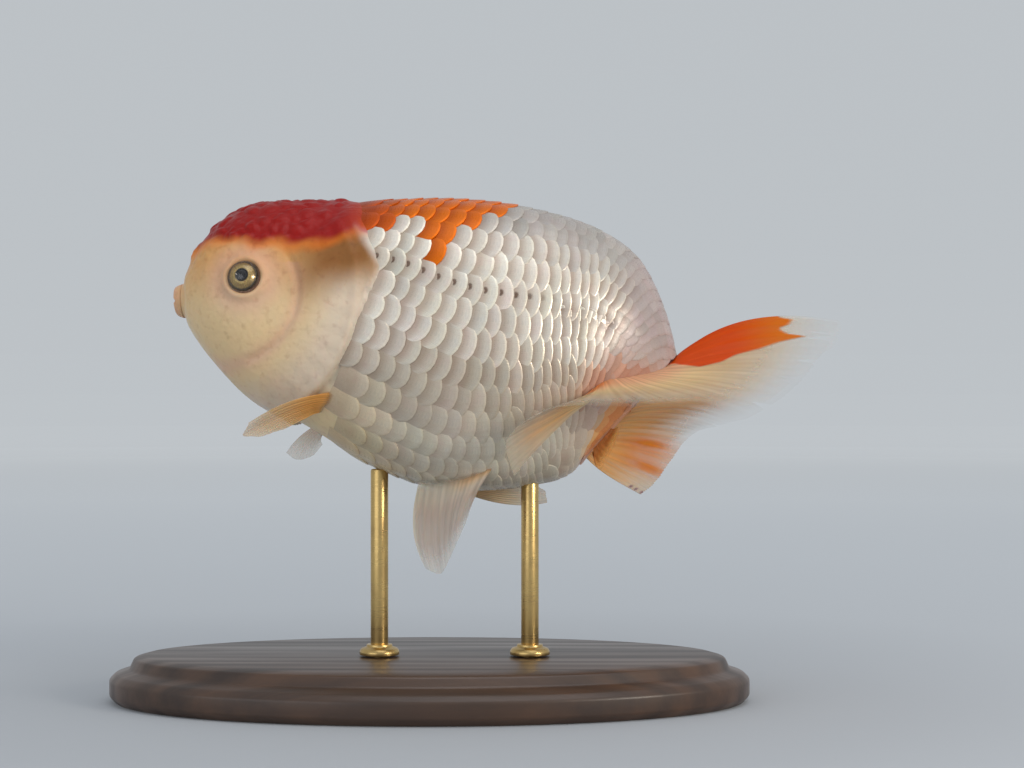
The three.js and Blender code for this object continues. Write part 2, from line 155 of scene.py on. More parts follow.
def fade(low, high, value):
    """A soft step from 1 at the low value to 0 at the high one."""
    return 1 - smooth(low, high, value)


def bell(value, middle, width):
    """1 at the middle value, falling off evenly on both sides."""
    return np.exp(-((value - middle) / width) ** 2)


def value_at(table, place):
    """Reads a table of (place, value) pairs between its places."""
    return np.interp(place, *zip(*table))


def to_row_frame(points):
    """Banks fish millimetres belly towards +X, lifts them over the stand and gives metres."""
    x, y, z = points[..., 0], points[..., 1], points[..., 2]
    return MM * np.stack([x * math.cos(BANK) - z * math.sin(BANK), y,
                          x * math.sin(BANK) + z * math.cos(BANK) + FISH_HEIGHT], -1)


def only(piece):
    """Makes a piece the only selected and the active one."""
    bpy.ops.object.select_all(action="DESELECT")
    piece.select_set(True)
    bpy.context.view_layer.objects.active = piece


def mesh_points(piece):
    points = np.empty(3 * len(piece.data.vertices))
    piece.data.vertices.foreach_get("co", points)
    return points.reshape(-1, 3)


def move_points(piece, points):
    piece.data.vertices.foreach_set("co", np.ascontiguousarray(points, dtype=float).ravel())
    piece.data.update()


def outward(piece):
    only(piece)
    bpy.ops.object.mode_set(mode="EDIT")
    bpy.ops.mesh.select_all(action="SELECT")
    bpy.ops.mesh.normals_make_consistent(inside=False)
    bpy.ops.object.mode_set(mode="OBJECT")


def paint(piece, name, colours):
    """Stores one colour for each point of a piece's mesh."""
    layer = piece.data.attributes.new(name, "FLOAT_COLOR", "POINT")
    rgba = np.ones((len(piece.data.vertices), 4))
    rgba[:, :colours.shape[1]] = colours
    layer.data.foreach_set("color", rgba.ravel())


# ---- Skin: its colours --------------------------------------------------------------------------
# The living fish is white with a pearly lustre, red over the crown and the top of the head, yellowish
# on the throat, and carries an orange saddle over the shoulders. Skin and scales share these rules.
WHITE = np.array([0.72, 0.67, 0.60])
HIND_GREY = np.array([0.46, 0.425, 0.40])
BELLY_SHADE = np.array([0.50, 0.43, 0.35])
GREY_PINK = np.array([0.47, 0.385, 0.375])
BELLY_WHITE = np.array([0.70, 0.64, 0.52])
THROAT_CREAM = np.array([0.82, 0.64, 0.38])
FLESH_PINK = np.array([0.70, 0.40, 0.32])
ROOT_BLUSH = np.array([0.52, 0.235, 0.140])
UNDER_TAIL_WARMTH = np.array([1.35, 1.0, 0.50])
NAPE_OCHRE = np.array([0.27, 0.112, 0.032])
NAPE_SHADE = np.array([0.72, 0.50, 0.8])
SADDLE_ORANGE = np.array([0.72, 0.152, 0.003])
CHEEK_OCHRE = np.array([0.66, 0.34, 0.12])
GILL_PEARL = np.array([0.74, 0.60, 0.47])
CROWN_RED = np.array([0.30, 0.008, 0.006])
NAPE_RED = np.array([0.42, 0.040, 0.012])
LIP_PINK = np.array([0.72, 0.38, 0.22])
# Painted shade for the mouth's opening and the nostril pits.
PAINTED_HOLLOW_SHADE = np.array([0.12, 0.040, 0.028])
# The gill covers' rear arc, the round of the crown, and the places of eyes, mouth and nostrils.
HEAD_ARC_Y, HEAD_ARC_Z, HEAD_ARC_RADIUS = -33.0, 7.0, 22.2
CROWN_Y, CROWN_Z, CROWN_RADIUS = -28.0, 31.0, 16.0
EYE_X, EYE_Y, EYE_Z, EYE_RADIUS = 12.3, -30.4, 9.4, 3.1
MOUTH_Z, MOUTH_HALF_WIDTH, MOUTH_HALF_HEIGHT, MOUTH_OPENING = 7.9, 2.8, 1.9, 0.75
NOSTRIL, NOSTRIL_PIT = np.array([5.2, -39.4, 14.4]), np.array([0.2, 0.9, 1.2])

# The saddle's lower edge on each side: how far round it reaches, station by station.
SADDLE_LEFT = [(4.3, 0.17), (4.7, 0.27), (5.22, 0.26), (5.3, 0.205), (5.66, 0.205), (5.73, 0.28),
               (5.82, 0.34), (6.03, 0.34), (6.08, 0.27), (6.14, 0.225), (6.40, 0.225), (6.50, 0.16),
               (6.80, 0.15), (6.95, -0.05)]
SADDLE_RIGHT = [(4.3, 0.20), (4.9, 0.30), (5.3, 0.31), (5.45, 0.22), (5.9, 0.19), (6.1, 0.24),
                (6.5, 0.23), (6.75, 0.12), (6.9, -0.05)]
# How far the bare nape reaches behind the gill covers' arc, from the middle of the back down the side.
NAPE_REACH = [(0.0, 5.8), (0.12, 5.6), (0.22, 3.8), (0.30, 3.4), (0.37, 3.6), (0.44, 1.4), (0.52, 0.0)]
# The line where the tail grows from the flank.
TAIL_ROOT_LINE = [(8.85, 0.62), (9.4, 0.544), (10.0, 0.505), (10.9, 0.444), (11.5, 0.372), (12.0, 0.26)]


def nape_reach(side):
    return value_at(NAPE_REACH, side)


def mix(low, high, share):
    return low + (high - low) * np.asarray(share)[..., None]


def saddle(along, around, softness):
    """1 inside the orange saddle, 0 outside."""
    edges = []
    for outline in (SADDLE_LEFT, SADDLE_RIGHT):
        stations, reach = zip(*outline)
        edges.append(np.interp(along, stations, reach, left=0.0, right=-0.2))
    edge = np.where(around >= 0, edges[0], edges[1])
    return smooth(-softness, softness, edge - np.abs(around))


def wandering(y, z):
    """A slow wave between about -1 and 1, for the edges of markings."""
    return 0.6 * np.sin(y * 0.43 + z * 0.25) + 0.4 * np.sin(y * 1.05 - z * 0.6)


def mouth_rings(x, z):
    """Distances from the mouth's middle: 1 along the lips' crest, and 1 at the edge of the opening."""
    crest = np.hypot(x / MOUTH_HALF_WIDTH, (z - MOUTH_Z) / MOUTH_HALF_HEIGHT)
    bow = 0.07 * x ** 2 - 0.25
    opening = np.hypot(x / (MOUTH_HALF_WIDTH + 0.3), (z - MOUTH_Z + bow) / MOUTH_OPENING)
    return crest, opening


def nostril_distances(x, y, z):
    """Millimetres to the nearer nostril's flap and to the pit behind it."""
    place = np.stack([np.abs(x), y, z], -1)
    from_middle = np.linalg.norm(place - NOSTRIL, axis=-1)
    from_pit = np.linalg.norm(place - NOSTRIL - NOSTRIL_PIT, axis=-1)
    return from_middle, from_pit


def head_markings(x, y, z):
    """The head's colours: cream below, pearly gill covers, ochre and orange under the red crown."""
    from_arc = np.hypot(y - HEAD_ARC_Y, z - HEAD_ARC_Z) - HEAD_ARC_RADIUS
    colour = mix(THROAT_CREAM, CHEEK_OCHRE, 0.25 + 0.75 * smooth(3, 15, z))
    pearl = smooth(-10, -3, from_arc) * fade(7, 14, z)
    colour = mix(colour, GILL_PEARL, 0.85 * pearl)
    from_eye = np.hypot(y - EYE_Y, z - EYE_Z)
    blush = bell(from_eye, 4.4, 2.2) + bell(from_arc, -10.6, 1.3) * (z < 12)
    colour = mix(colour, FLESH_PINK, np.clip(0.45 * blush, 0, 0.6))
    # The red's lower edge is level over the eyes, dips behind them and climbs to the nape; orange, then
    # ochre, lie under it.
    red_edge = 16.4 - 1.2 * smooth(-27, -20, y) + 0.34 * np.maximum(y + 19, 0) + 0.8 * wandering(y, z)
    ochre = smooth(-26, -16, y) * smooth(-13.0, -4.5, z - red_edge)
    colour = mix(colour, NAPE_OCHRE, ochre)
    colour = mix(colour, SADDLE_ORANGE, 0.6 * smooth(-2.6, -0.4, z - red_edge + 0.5 * wandering(z, y)))
    red = mix(CROWN_RED, NAPE_RED, smooth(-15.5, -9.5, y))
    colour = mix(colour, red, smooth(-1.1, 0.9, z - red_edge))
    ring, slit = mouth_rings(x, z)
    colour = mix(colour, LIP_PINK, 0.8 * bell(ring, 1.0, 0.45) * (y < -40))
    # Painted shade darkens the mouth's opening.
    colour = mix(colour, PAINTED_HOLLOW_SHADE, fade(0.65, 1.05, slit) * (y < -40))
    # Painted shade darkens the nostrils' pits.
    from_pit = nostril_distances(x, y, z)[1]
    return mix(colour, PAINTED_HOLLOW_SHADE, 0.85 * fade(0.35, 0.85, from_pit))


def markings(points, along, around, softness, scaled=0.0):
    """Skin colour at places on the body; the head's colours end `scaled` millimetres sooner."""
    side = np.abs(around)
    x, y, z = points[..., 0], points[..., 1], points[..., 2]
    colour = mix(WHITE, BELLY_WHITE, 0.9 * smooth(0.56, 0.78, side))
    # Painted shade: a darker band low on each flank, where the body turns under towards the belly.
    colour = mix(colour, BELLY_SHADE, 0.75 * smooth(0.50, 0.60, side) * fade(0.70, 0.80, side))
    colour = mix(colour, HIND_GREY, smooth(6.0, 6.8, along) * fade(0.20, 0.31, side))
    colour = mix(colour, GREY_PINK, 0.85 * smooth(8.3, 9.6, along) * fade(0.55, 0.8, side))
    colour = mix(colour, FLESH_PINK, 0.5 * smooth(10.2, 11.6, along) * smooth(0.20, 0.45, side))
    colour = mix(colour, THROAT_CREAM, smooth(0.60, 0.85, side) * fade(4.3, 6.0, along))
    below_tail = side - value_at(TAIL_ROOT_LINE, along)
    blush = smooth(8.2, 8.9, along) * smooth(-0.13, -0.01, below_tail)
    under = smooth(0.0, 0.06, below_tail) * fade(9.8, 11.2, along)
    colour = mix(colour, ROOT_BLUSH, 0.80 * blush * (1 - 0.72 * under))
    under_tail = smooth(9.5, 10.5, along) * smooth(0.50, 0.58, side) * fade(0.80, 0.95, side)
    colour = mix(colour, colour * UNDER_TAIL_WARMTH, under_tail)
    colour = mix(colour, SADDLE_ORANGE, saddle(along, around, softness))
    # The bare nape runs from the crown's end to the first scales.
    from_arc = np.hypot(y - HEAD_ARC_Y, z - HEAD_ARC_Z) - HEAD_ARC_RADIUS
    behind_nape = from_arc - nape_reach(side)
    colour = mix(colour, colour * NAPE_SHADE, smooth(0.3, 0.6, saddle(along, around, softness))
                 * fade(0.5, 5.5, behind_nape))
    early = np.maximum(scaled, 1.6 * smooth(0.20, 0.26, side) * fade(0.30, 0.40, side))
    bare = fade(-1.2, 1.5, behind_nape + early) * smooth(-1, 1, 6.0 - along)
    return mix(colour, head_markings(x, y, z), bare)


# A fold in the left flank, just under the lateral line's row: it starts sharply and fades downwards.
CREASE = [(7.5, 0.420), (7.8, 0.412), (8.2, 0.400), (8.6, 0.394), (9.1, 0.387)]
CREASE_DEPTH, CREASE_FADE = 0.48, 1.9


def below_crease(along, around):
    """1 just below the fold, 0 above it and beyond its ends."""
    line = value_at(CREASE, along)
    below = (around - line) * np.interp(along, ALONG_STEPS, girth_table) / 2
    ends = smooth(7.45, 7.75, along) * fade(8.75, 9.15, along)
    return ends * smooth(-0.60, 0.50, below) * np.exp(-np.maximum(below, 0) / CREASE_FADE)


# ---- Skin: the mesh and its wet look ------------------------------------------------------------
# One unbroken skin from the lips to the tail root, soft and wet. On the head it carries the crown's
# lumps, the gill covers, the eye rims, the nostril flaps and the lips; the rest lies under the scales.
COAT_DEPTH = 0.80        # the skin lies this far down under the scales
SKIN_SEGMENTS, SKIN_RINGS = 300, 310
# How far the head's parts stand out of the form or sink into it.
CROWN_LUMPS, CROWN_RISE, CROWN_FURROW = 0.34, 0.12, 0.18
GILL_RISE, GILL_FURROW, GILL_RIM, GILL_RAYS = 0.40, 0.55, 0.25, 0.05
EYE_RIM, EYE_SOCKET = 0.75, 1.9
NOSTRIL_FLAP, NOSTRIL_RIM, NOSTRIL_HOLE = 1.1, 0.35, 1.0
LIP_RISE, MOUTH_DEPTH, LIP_FURROW = 0.85, 1.7, 0.25


def ripple(points, size, seed=0.0):
    """Soft noise between -1 and 1, with features about `size` across."""
    return np.array([noise.noise(Vector((x / size + seed, y / size, z / size)))
                     for x, y, z in points])


def lumps(points, size):
    """Rounded lumps like the growth on a crown, 0 in the furrows and 1 on top."""
    nearest = np.array([noise.voronoi(Vector(p) / size)[0][:2] for p in points])
    domes = np.sqrt(np.clip(1 - (nearest[:, 0] / 0.75) ** 2, 0, 1))
    return domes * smooth(0.0, 0.35, nearest[:, 1] - nearest[:, 0])


def head_relief(points):
    """How far the head's skin stands out from the plain body form, in millimetres."""
    x, y, z = points[:, 0], points[:, 1], points[:, 2]
    relief = np.zeros(len(points))
    near = y < 0
    crown_depth = CROWN_RADIUS - np.hypot(y - CROWN_Y, z - CROWN_Z)
    on_crown = smooth(-0.3, 1.6, crown_depth)
    groove = bell(crown_depth, 0, 0.9)
    relief += CROWN_RISE * on_crown - CROWN_FURROW * groove
    on_brow = smooth(6, 15, z) * smooth(-43, -40, y) * fade(-24, -16, y)
    growth = np.maximum(on_crown, 0.30 * on_brow)
    warp = 0.8 * np.stack([ripple(points[near], 3.0, seed) for seed in (3.0, 17.0, 31.0)], 1)
    relief[near] += CROWN_LUMPS * growth[near] * (lumps(points[near] + warp, 2.4) - 0.5)
    fine = 0.25 + 0.30 * smooth(8, 16, z[near])
    relief[near] += fine * (0.12 * ripple(points[near], 1.1) + 0.04 * ripple(points[near], 0.45))

    from_arc = np.hypot(y - HEAD_ARC_Y, z - HEAD_ARC_Z)
    bearing = np.degrees(np.arctan2(z - HEAD_ARC_Z, y - HEAD_ARC_Y))
    on_cover = smooth(-82, -70, bearing) * fade(30, 42, bearing)
    on_cover = on_cover * smooth(2, 5, np.abs(x)) * (y > -36)
    furrow = bell(from_arc, 11.6, 0.6)
    relief += on_cover * (GILL_RISE * smooth(12.3, 15, from_arc) - GILL_FURROW * furrow)
    relief += on_cover * GILL_RIM * bell(from_arc, 21.3, 0.8)
    relief += on_cover * GILL_RAYS * np.cos(np.radians(bearing) * 40) * smooth(14, 20, from_arc)

    from_eye = np.hypot(y - EYE_Y, z - EYE_Z)
    at_eye = np.where(np.abs(x) > 6, from_eye, 99)
    relief += EYE_RIM * bell(at_eye, EYE_RADIUS + 0.1, 0.75)
    relief -= EYE_SOCKET * fade(EYE_RADIUS - 1.0, EYE_RADIUS - 0.2, at_eye)

    from_flap, from_pit = nostril_distances(x, y, z)
    relief += (NOSTRIL_FLAP * bell(from_flap, 0, 0.95)
               + NOSTRIL_RIM * bell(from_pit, 1.1, 0.4))
    relief -= NOSTRIL_HOLE * bell(from_pit, 0, 0.65)

    ring, slit = mouth_rings(x, z)
    at_mouth = (y < -38) * 1.0
    relief += at_mouth * LIP_RISE * bell(ring, 1.0, 0.36)
    relief -= at_mouth * MOUTH_DEPTH * fade(0.55, 1.05, slit)
    relief -= at_mouth * LIP_FURROW * bell(ring, 1.85, 0.30)
    return relief


def skin_lift(points, along, around):
    """Head relief in front of the first scales; behind them the skin lies the coat's depth down."""
    from_arc = np.hypot(points[:, 1] - HEAD_ARC_Y, points[:, 2] - HEAD_ARC_Z) - HEAD_ARC_RADIUS
    side = np.abs(around)
    width = np.interp(side, [0.28, 0.42], [2.6, 0.35])
    behind = smooth(-width, 0.3 * width, from_arc - nape_reach(side))
    behind = np.where(along > 6.0, 1.0, behind)
    return ((1 - behind) * head_relief(points) - COAT_DEPTH * behind
            - CREASE_DEPTH * below_crease(along, around))


bpy.ops.object.select_all(action="DESELECT")
bpy.ops.mesh.primitive_uv_sphere_add(segments=SKIN_SEGMENTS, ring_count=SKIN_RINGS, radius=1.0)
skin = bpy.context.active_object
skin.name = "skin"
sphere = mesh_points(skin)
share = np.arccos(np.clip(sphere[:, 2], -1, 1)) / math.pi
skin_along = np.interp(share, [0, 0.08, 0.55, 0.95, 1], [-1, 0, 4.9, 12, 13])
skin_around = np.arctan2(sphere[:, 0], sphere[:, 1]) / math.pi
form = body_at(skin_along, skin_around)
skin_points = form + (body_normal(skin_along, skin_around)
                      * skin_lift(form, skin_along, skin_around)[:, None])
move_points(skin, to_row_frame(skin_points))
paint(skin, "tint", markings(form, skin_along, skin_around, 0.03))
outward(skin)
bpy.ops.object.shade_smooth()
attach(skin, "root")
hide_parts("head", "crown", "gill_cover_left", "gill_cover_right", "nostril_left",
            "nostril_right", "upper_lip", "lower_jaw", "trunk", "tail_stalk")


def new_group(name, inputs, outputs):
    """An empty shader node group; inputs are (name, type, default), outputs (name, type)."""
    group = bpy.data.node_groups.new(name, "ShaderNodeTree")
    for label, kind, value in inputs:
        socket = group.interface.new_socket(label, in_out="INPUT", socket_type="NodeSocket" + kind)
        socket.default_value = value
    for label, kind in outputs:
        group.interface.new_socket(label, in_out="OUTPUT", socket_type="NodeSocket" + kind)
    return group, group.nodes.new("NodeGroupInput").outputs, group.nodes.new("NodeGroupOutput").inputs


def add_node(tree, kind, settings=None, **values):
    """Adds a node; settings are its own properties, values go to its input sockets."""
    made = tree.nodes.new("ShaderNode" + kind)
    for key, value in (settings or {}).items():
        setattr(made, key, value)
    for key, value in values.items():
        socket = made.inputs[int(key[1:])] if key[0] == "i" and key[1:].isdigit() else made.inputs[key]
        if isinstance(value, bpy.types.NodeSocket):
            tree.links.new(value, socket)
        else:
            socket.default_value = value
    return made


def add_mix(tree, low, high, share, blend="MIX"):
    """A colour mix; its result socket."""
    made = add_node(tree, "Mix", {"data_type": "RGBA", "blend_type": blend}, i0=share, i6=low, i7=high)
    return made.outputs[2]


def add_math(tree, operation, *values):
    made = add_node(tree, "Math", {"operation": operation})
    for socket, value in zip(made.inputs, values):
        if isinstance(value, bpy.types.NodeSocket):
            tree.links.new(value, socket)
        else:
            socket.default_value = value
    return made.outputs[0]


def add_range(tree, value, from_low, from_high, to_low, to_high):
    """A soft step of a value from one range to another; its result socket."""
    return add_node(tree, "MapRange", {"interpolation_type": "SMOOTHSTEP"}, i0=value,
                    i1=from_low, i2=from_high, i3=to_low, i4=to_high).outputs[0]


def add_noise(tree, place, scale, detail=2.0):
    return add_node(tree, "TexNoise", Vector=place, Scale=scale, Detail=detail).outputs["Fac"]


def add_bump(tree, height, strength, distance):
    """A bump from a height; its normal socket."""
    return add_node(tree, "Bump", Strength=strength, Distance=distance, Height=height).outputs[0]


def add_ramp(tree, value, stops):
    """A colour ramp through (position, colour) stops; its colour socket."""
    made = add_node(tree, "ValToRGB", Fac=value)
    for _ in stops[2:]:
        made.color_ramp.elements.new(0.5)
    for stop, (position, colour) in zip(made.color_ramp.elements, stops):
        stop.position = position
        stop.color = (*colour, 1)
    return made.outputs[0]


def object_place(tree):
    return add_node(tree, "TexCoord").outputs["Object"]


def piece_colour(tree, name="tint"):
    return add_node(tree, "Attribute", {"attribute_name": name}).outputs["Color"]


def piece_share(tree, name):
    return add_node(tree, "Attribute", {"attribute_name": name}).outputs["Fac"]


def new_material(name, **fixed):
    """A material with one Principled shader; fixed values go straight on its sockets."""
    made = bpy.data.materials.new(name)
    made.use_nodes = True
    shader = made.node_tree.nodes["Principled BSDF"]
    for label, value in fixed.items():
        shader.inputs[label.replace("_", " ")].default_value = value
    return made, made.node_tree, shader.inputs


# Mother-of-pearl drift: patches a few millimetres across lean pink, green or blue.
lustre, given, made = new_group(
    "lustre", [("Colour", "Color", (1, 1, 1, 1)), ("Strength", "Float", 0.1), ("Size", "Float", 300.0)],
    [("Colour", "Color")])
drift = add_noise(lustre, object_place(lustre), given["Size"])
hues = add_ramp(lustre, drift, [
    (0.32, (1.0, 0.80, 0.84)), (0.5, (0.96, 1.0, 0.88)), (0.68, (0.82, 0.92, 1.0))])
tinged = add_mix(lustre, given["Colour"], hues, given["Strength"], "MULTIPLY")
lustre.links.new(tinged, made["Colour"])

# Wet flesh: fine pores and creases for the bump, and a film that is glossier in some places.
flesh, given, made = new_group(
    "wet flesh", [("Size", "Float", 900.0), ("Low", "Float", 0.2), ("High", "Float", 0.5)],
    [("Height", "Float"), ("Roughness", "Float")])
place = object_place(flesh)
cells = add_node(flesh, "TexVoronoi", {"feature": "SMOOTH_F1"}, Vector=place, Scale=given["Size"])
grain = add_noise(flesh, place, given["Size"], 4.0)
flesh.links.new(add_math(flesh, "ADD", cells.outputs["Distance"], grain), made["Height"])
film = add_noise(flesh, place, 160.0, 1.0)
wetness = add_node(flesh, "MapRange", i0=film, i1=0.3, i2=0.7, i3=given["Low"], i4=given["High"])
flesh.links.new(wetness.outputs[0], made["Roughness"])


def use_group(tree, group, **values):
    made = tree.nodes.new("ShaderNodeGroup")
    made.node_tree = group
    for label, value in values.items():
        if isinstance(value, bpy.types.NodeSocket):
            tree.links.new(value, made.inputs[label])
        else:
            made.inputs[label].default_value = value
    return made.outputs


# The skin leans darker and redder in small blotches.
skin_look, tree, shader = new_material("wet skin", Coat_Weight=0.06, Coat_Roughness=0.12,
                                       Subsurface_Weight=0.12, Subsurface_Scale=0.0012,
                                       Specular_IOR_Level=0.14)
tint = piece_colour(tree)
wet = use_group(tree, flesh, Size=1100.0, Low=0.28, High=0.46)
blotch = add_noise(tree, object_place(tree), 700.0, 3.0)
deeper = add_mix(tree, tint, (0.62, 0.45, 0.40, 1), 1.0, "MULTIPLY")
blotched = add_mix(tree, tint, deeper, add_range(tree, blotch, 0.52, 0.78, 0.0, 0.35))
pearly = use_group(tree, lustre, Colour=blotched, Strength=0.10, Size=260.0)
tree.links.new(pearly["Colour"], shader["Base Color"])
tree.links.new(wet["Roughness"], shader["Roughness"])
tree.links.new(add_bump(tree, wet["Height"], 0.35, 0.0002), shader["Normal"])
skin.data.materials.append(skin_look)

# ---- Scales -------------------------------------------------------------------------------------
# Thin, rounded plates in slanting rows, each lying over the one behind it with its rear edge free.
# They start under the gill covers, shrink towards the tail root and carry the skin's own colours.
SCALE_ROWS = 15          # on each side, from the back's middle row to the belly's
LATERAL_ROW = 6          # the row that carries the lateral line's pores
FIRST_COLUMN, LAST_COLUMN = 4.45, 12.15
# By station: the spacing along the lateral line, and how far the rows half way down the flank lie
# off their even places.
COLUMN_PITCH = [(4.4, 2.64), (6.7, 2.64), (7.1, 2.35), (7.5, 1.80), (8.6, 1.62), (9.4, 1.60),
                (12.5, 1.45)]
ROW_SHIFT = [(4.4, -0.075), (5.4, -0.048), (6.0, -0.012), (6.5, 0.006), (7.0, 0.009), (7.6, -0.002),
             (8.2, -0.026), (9.0, -0.030), (9.8, -0.05), (12.0, -0.04)]
SLANT_SPAN = 0.2         # stations over which a row's slant is read
# A scale's grid: its rows from the buried front to the free edge, the edge's drop, and its columns.
SCALE_LENGTHWISE = np.array([0, 0.42, 0.62, 0.78, 0.90, 0.965, 1.0, 1.0])
EDGE_STEP = np.array([0, 0, 0, 0, 0, -0.01, -0.05, -0.22])
SCALE_ACROSS = np.sin(np.linspace(-1, 1, 9) * math.pi / 2)
SCALE_FRONT, SCALE_REACH = 1.10, 0.98    # in column pitches
SCALE_HALF_HEIGHT = [(5.8, 0.66), (7.0, 0.84)]    # in row pitches, by station
SCALE_RISE = 0.52        # from buried front to free edge, on a full-size scale
SCALE_ARCH, SCALE_DOME = 0.35, 0.17      # the lengthwise arch's share, and the crosswise height
FULL_PITCH = 2.75        # of the largest scales
CROWDED_PITCH = 1.05     # below this every other column is left out
# No two scales lie alike: by degrees, share of the size, and slopes.
TURN_SPREAD, SIZE_SPREAD, PITCH_SPREAD, ROLL_SPREAD = 2.0, 0.03, 0.010, 0.014
random = np.random.default_rng(7)


def row_place(row, along):
    share = row / SCALE_ROWS
    shift = value_at(ROW_SHIFT, along) * np.sin(math.pi * abs(share))
    return share + math.copysign(1, row) * shift if row else 0.0


def spacing(along, around, step=0.05):
    """Surface millimetres per station at a place."""
    ends = body_at(np.array([along - step, along + step]), np.array([around, around]))
    return np.linalg.norm(ends[1] - ends[0]) / (2 * step)


columns = [FIRST_COLUMN]
while columns[-1] < LAST_COLUMN:
    here = columns[-1]
    column_pitch = value_at(COLUMN_PITCH, here)
    columns.append(here + column_pitch / spacing(here, LATERAL_ROW / SCALE_ROWS))
column_numbers = np.arange(len(columns))


def scale_sites(side):
    """Where scales grow on one side: station, place around, pitch along the row and row pitch."""
    sites = []
    rows = range(0, SCALE_ROWS + 1) if side > 0 else range(-1, -SCALE_ROWS, -1)
    for row in rows:
        for number in column_numbers[1:-1]:
            at = number + 0.5 * (row % 2)
            along = float(np.interp(at, column_numbers, columns))
            around = float(row_place(row, along))
            nearby = np.interp([at - 0.5, at + 0.5], column_numbers, columns)
            pitch = spacing(along, around) * float(nearby[1] - nearby[0])
            if pitch < CROWDED_PITCH:
                if number % 2:
                    continue
                pitch *= 2
            place = body_at(np.array([along]), np.array([around]))[0]
            from_arc = math.hypot(place[1] - HEAD_ARC_Y, place[2] - HEAD_ARC_Z) - HEAD_ARC_RADIUS
            if from_arc < nape_reach(abs(around)) - 1.2:
                continue
            girth = float(np.interp(along, ALONG_STEPS, girth_table))
            sites.append((along, around, pitch, girth / (2 * SCALE_ROWS), row))
    return sites


def crispness(along, around):
    """How sharply a scale's edge shows: most on the flank, least on hind back, tail root and belly."""
    side = abs(around)
    hind_back = smooth(6.3, 7.2, along) * fade(0.16, 0.30, side)
    tail_root = smooth(8.7, 9.8, along)
    belly = smooth(0.55, 0.75, side)
    return float((1 - 0.75 * hind_back) * (1 - 0.75 * tail_root) * (1 - 0.6 * belly))


def scale_plate(along, around, pitch, row_pitch):
    """One scale as a closed plate on the skin: its points in rows, and each point's place in it."""
    turn = math.radians(random.normal(0, TURN_SPREAD))
    size = 1 + random.normal(0, SIZE_SPREAD)
    middle, span = np.array([along]), np.array([around])
    step_along, step_around = 0.04, 0.01
    lengthwise = (body_at(middle + step_along, span) - body_at(middle - step_along, span))[0]
    lengthwise = lengthwise / (2 * step_along)
    girthwise = (body_at(middle, span + step_around) - body_at(middle, span - step_around))[0]
    girthwise = girthwise / (2 * step_around)
    normal = body_normal(middle, span)[0]
    slant = (value_at(ROW_SHIFT, along + SLANT_SPAN / 2)
             - value_at(ROW_SHIFT, along - SLANT_SPAN / 2))
    row_slope = math.copysign(1, around) * slant / SLANT_SPAN * math.sin(math.pi * abs(around))
    down_row = lengthwise + girthwise * row_slope
    ahead = unit(down_row - normal * np.dot(down_row, normal))
    across = np.cross(normal, ahead)
    ahead, across = (ahead * math.cos(turn) + across * math.sin(turn),
                     across * math.cos(turn) - ahead * math.sin(turn))
    w, q = np.meshgrid(SCALE_LENGTHWISE, SCALE_ACROSS, indexing="ij")
    front = SCALE_FRONT * pitch * size
    reach = SCALE_REACH * pitch * size
    half = float(value_at(SCALE_HALF_HEIGHT, along)) * row_pitch * size
    rear = reach * np.sqrt(np.maximum(1 - np.abs(q) ** 2.1, 0))
    a = -front + (rear + front) * w
    b = half * q
    crisp = crispness(along, around)
    rise = SCALE_RISE * min(1.0, 0.35 + 0.65 * pitch / FULL_PITCH) * (0.50 + 0.50 * crisp)
    climb = (a + front) / (front + reach)
    arched = rise * climb * (1 + SCALE_ARCH * (1 - climb))
    domed = SCALE_DOME * (1 - q ** 2) * min(1.0, pitch / FULL_PITCH)
    tipped = random.normal(0, PITCH_SPREAD) * a + random.normal(0, ROLL_SPREAD) * b
    edge_drop = EDGE_STEP[:, None] * min(1.0, pitch / 2)
    height = arched + domed + tipped + edge_drop
    # Local millimetres become steps along and around through the surface's own slopes there.
    slopes = np.array([[lengthwise @ ahead, girthwise @ ahead],
                       [lengthwise @ across, girthwise @ across]])
    steps = np.linalg.solve(slopes, np.stack([a.ravel(), b.ravel()]))
    places_along = np.clip(along + steps[0], -0.9, LAST_STATION + 0.95)
    places_around = around + steps[1]
    points = body_at(places_along, places_around)
    fold = below_crease(places_along, places_around)
    lift = height.ravel() - COAT_DEPTH + 0.02 - CREASE_DEPTH * fold
    points += body_normal(places_along, places_around) * lift[:, None]
    return points, w.ravel(), (q.ravel() + 1) / 2, fold, crisp


def plate_faces(start):
    rows, cols = len(SCALE_LENGTHWISE), len(SCALE_ACROSS)
    faces = []
    for i in range(rows - 1):
        for j in range(cols - 1):
            k = start + i * cols + j
            faces.append((k, k + cols, k + cols + 1, k + 1))
        left, right = start + i * cols, start + i * cols + cols - 1
        faces.append((left, right, right + cols, left + cols))
    faces.append(tuple(start + j for j in range(cols)))
    faces.append(tuple(start + (rows - 1) * cols + j for j in reversed(range(cols))))
    return faces


# Painted shade for the scales just below the flank's fold.
FOLD_SHADE = np.array([0.50, 0.41, 0.37])
# Each scale has a small patch of its own in the OFBake sheet, laid out like the skin.
SHEET_EDGE, SHEET_SPAN, SHEET_PATCH = 0.02, 0.96, 0.003


def scale_colour(along, around, point):
    """One colour for a scale, from the skin's markings behind its root, each a bit different."""
    ahead = min(along + 0.12, LAST_STATION)
    colour = markings(point, np.array(ahead), np.array(around), 0.004, scaled=1.8)
    lean = random.normal(0, 1, 3) * np.array([0.010, 0.006, 0.010])
    return np.clip(colour * (1 + random.normal(0, 0.05)) + lean * colour, 0, 1)


def new_piece(name, points, faces):
    """A piece from points in the fish's own millimetres and faces between them."""
    mesh = bpy.data.meshes.new(name)
    mesh.from_pydata(to_row_frame(np.array(points)).tolist(), [], faces)
    piece = bpy.data.objects.new(name, mesh)
    bpy.context.collection.objects.link(piece)
    return piece


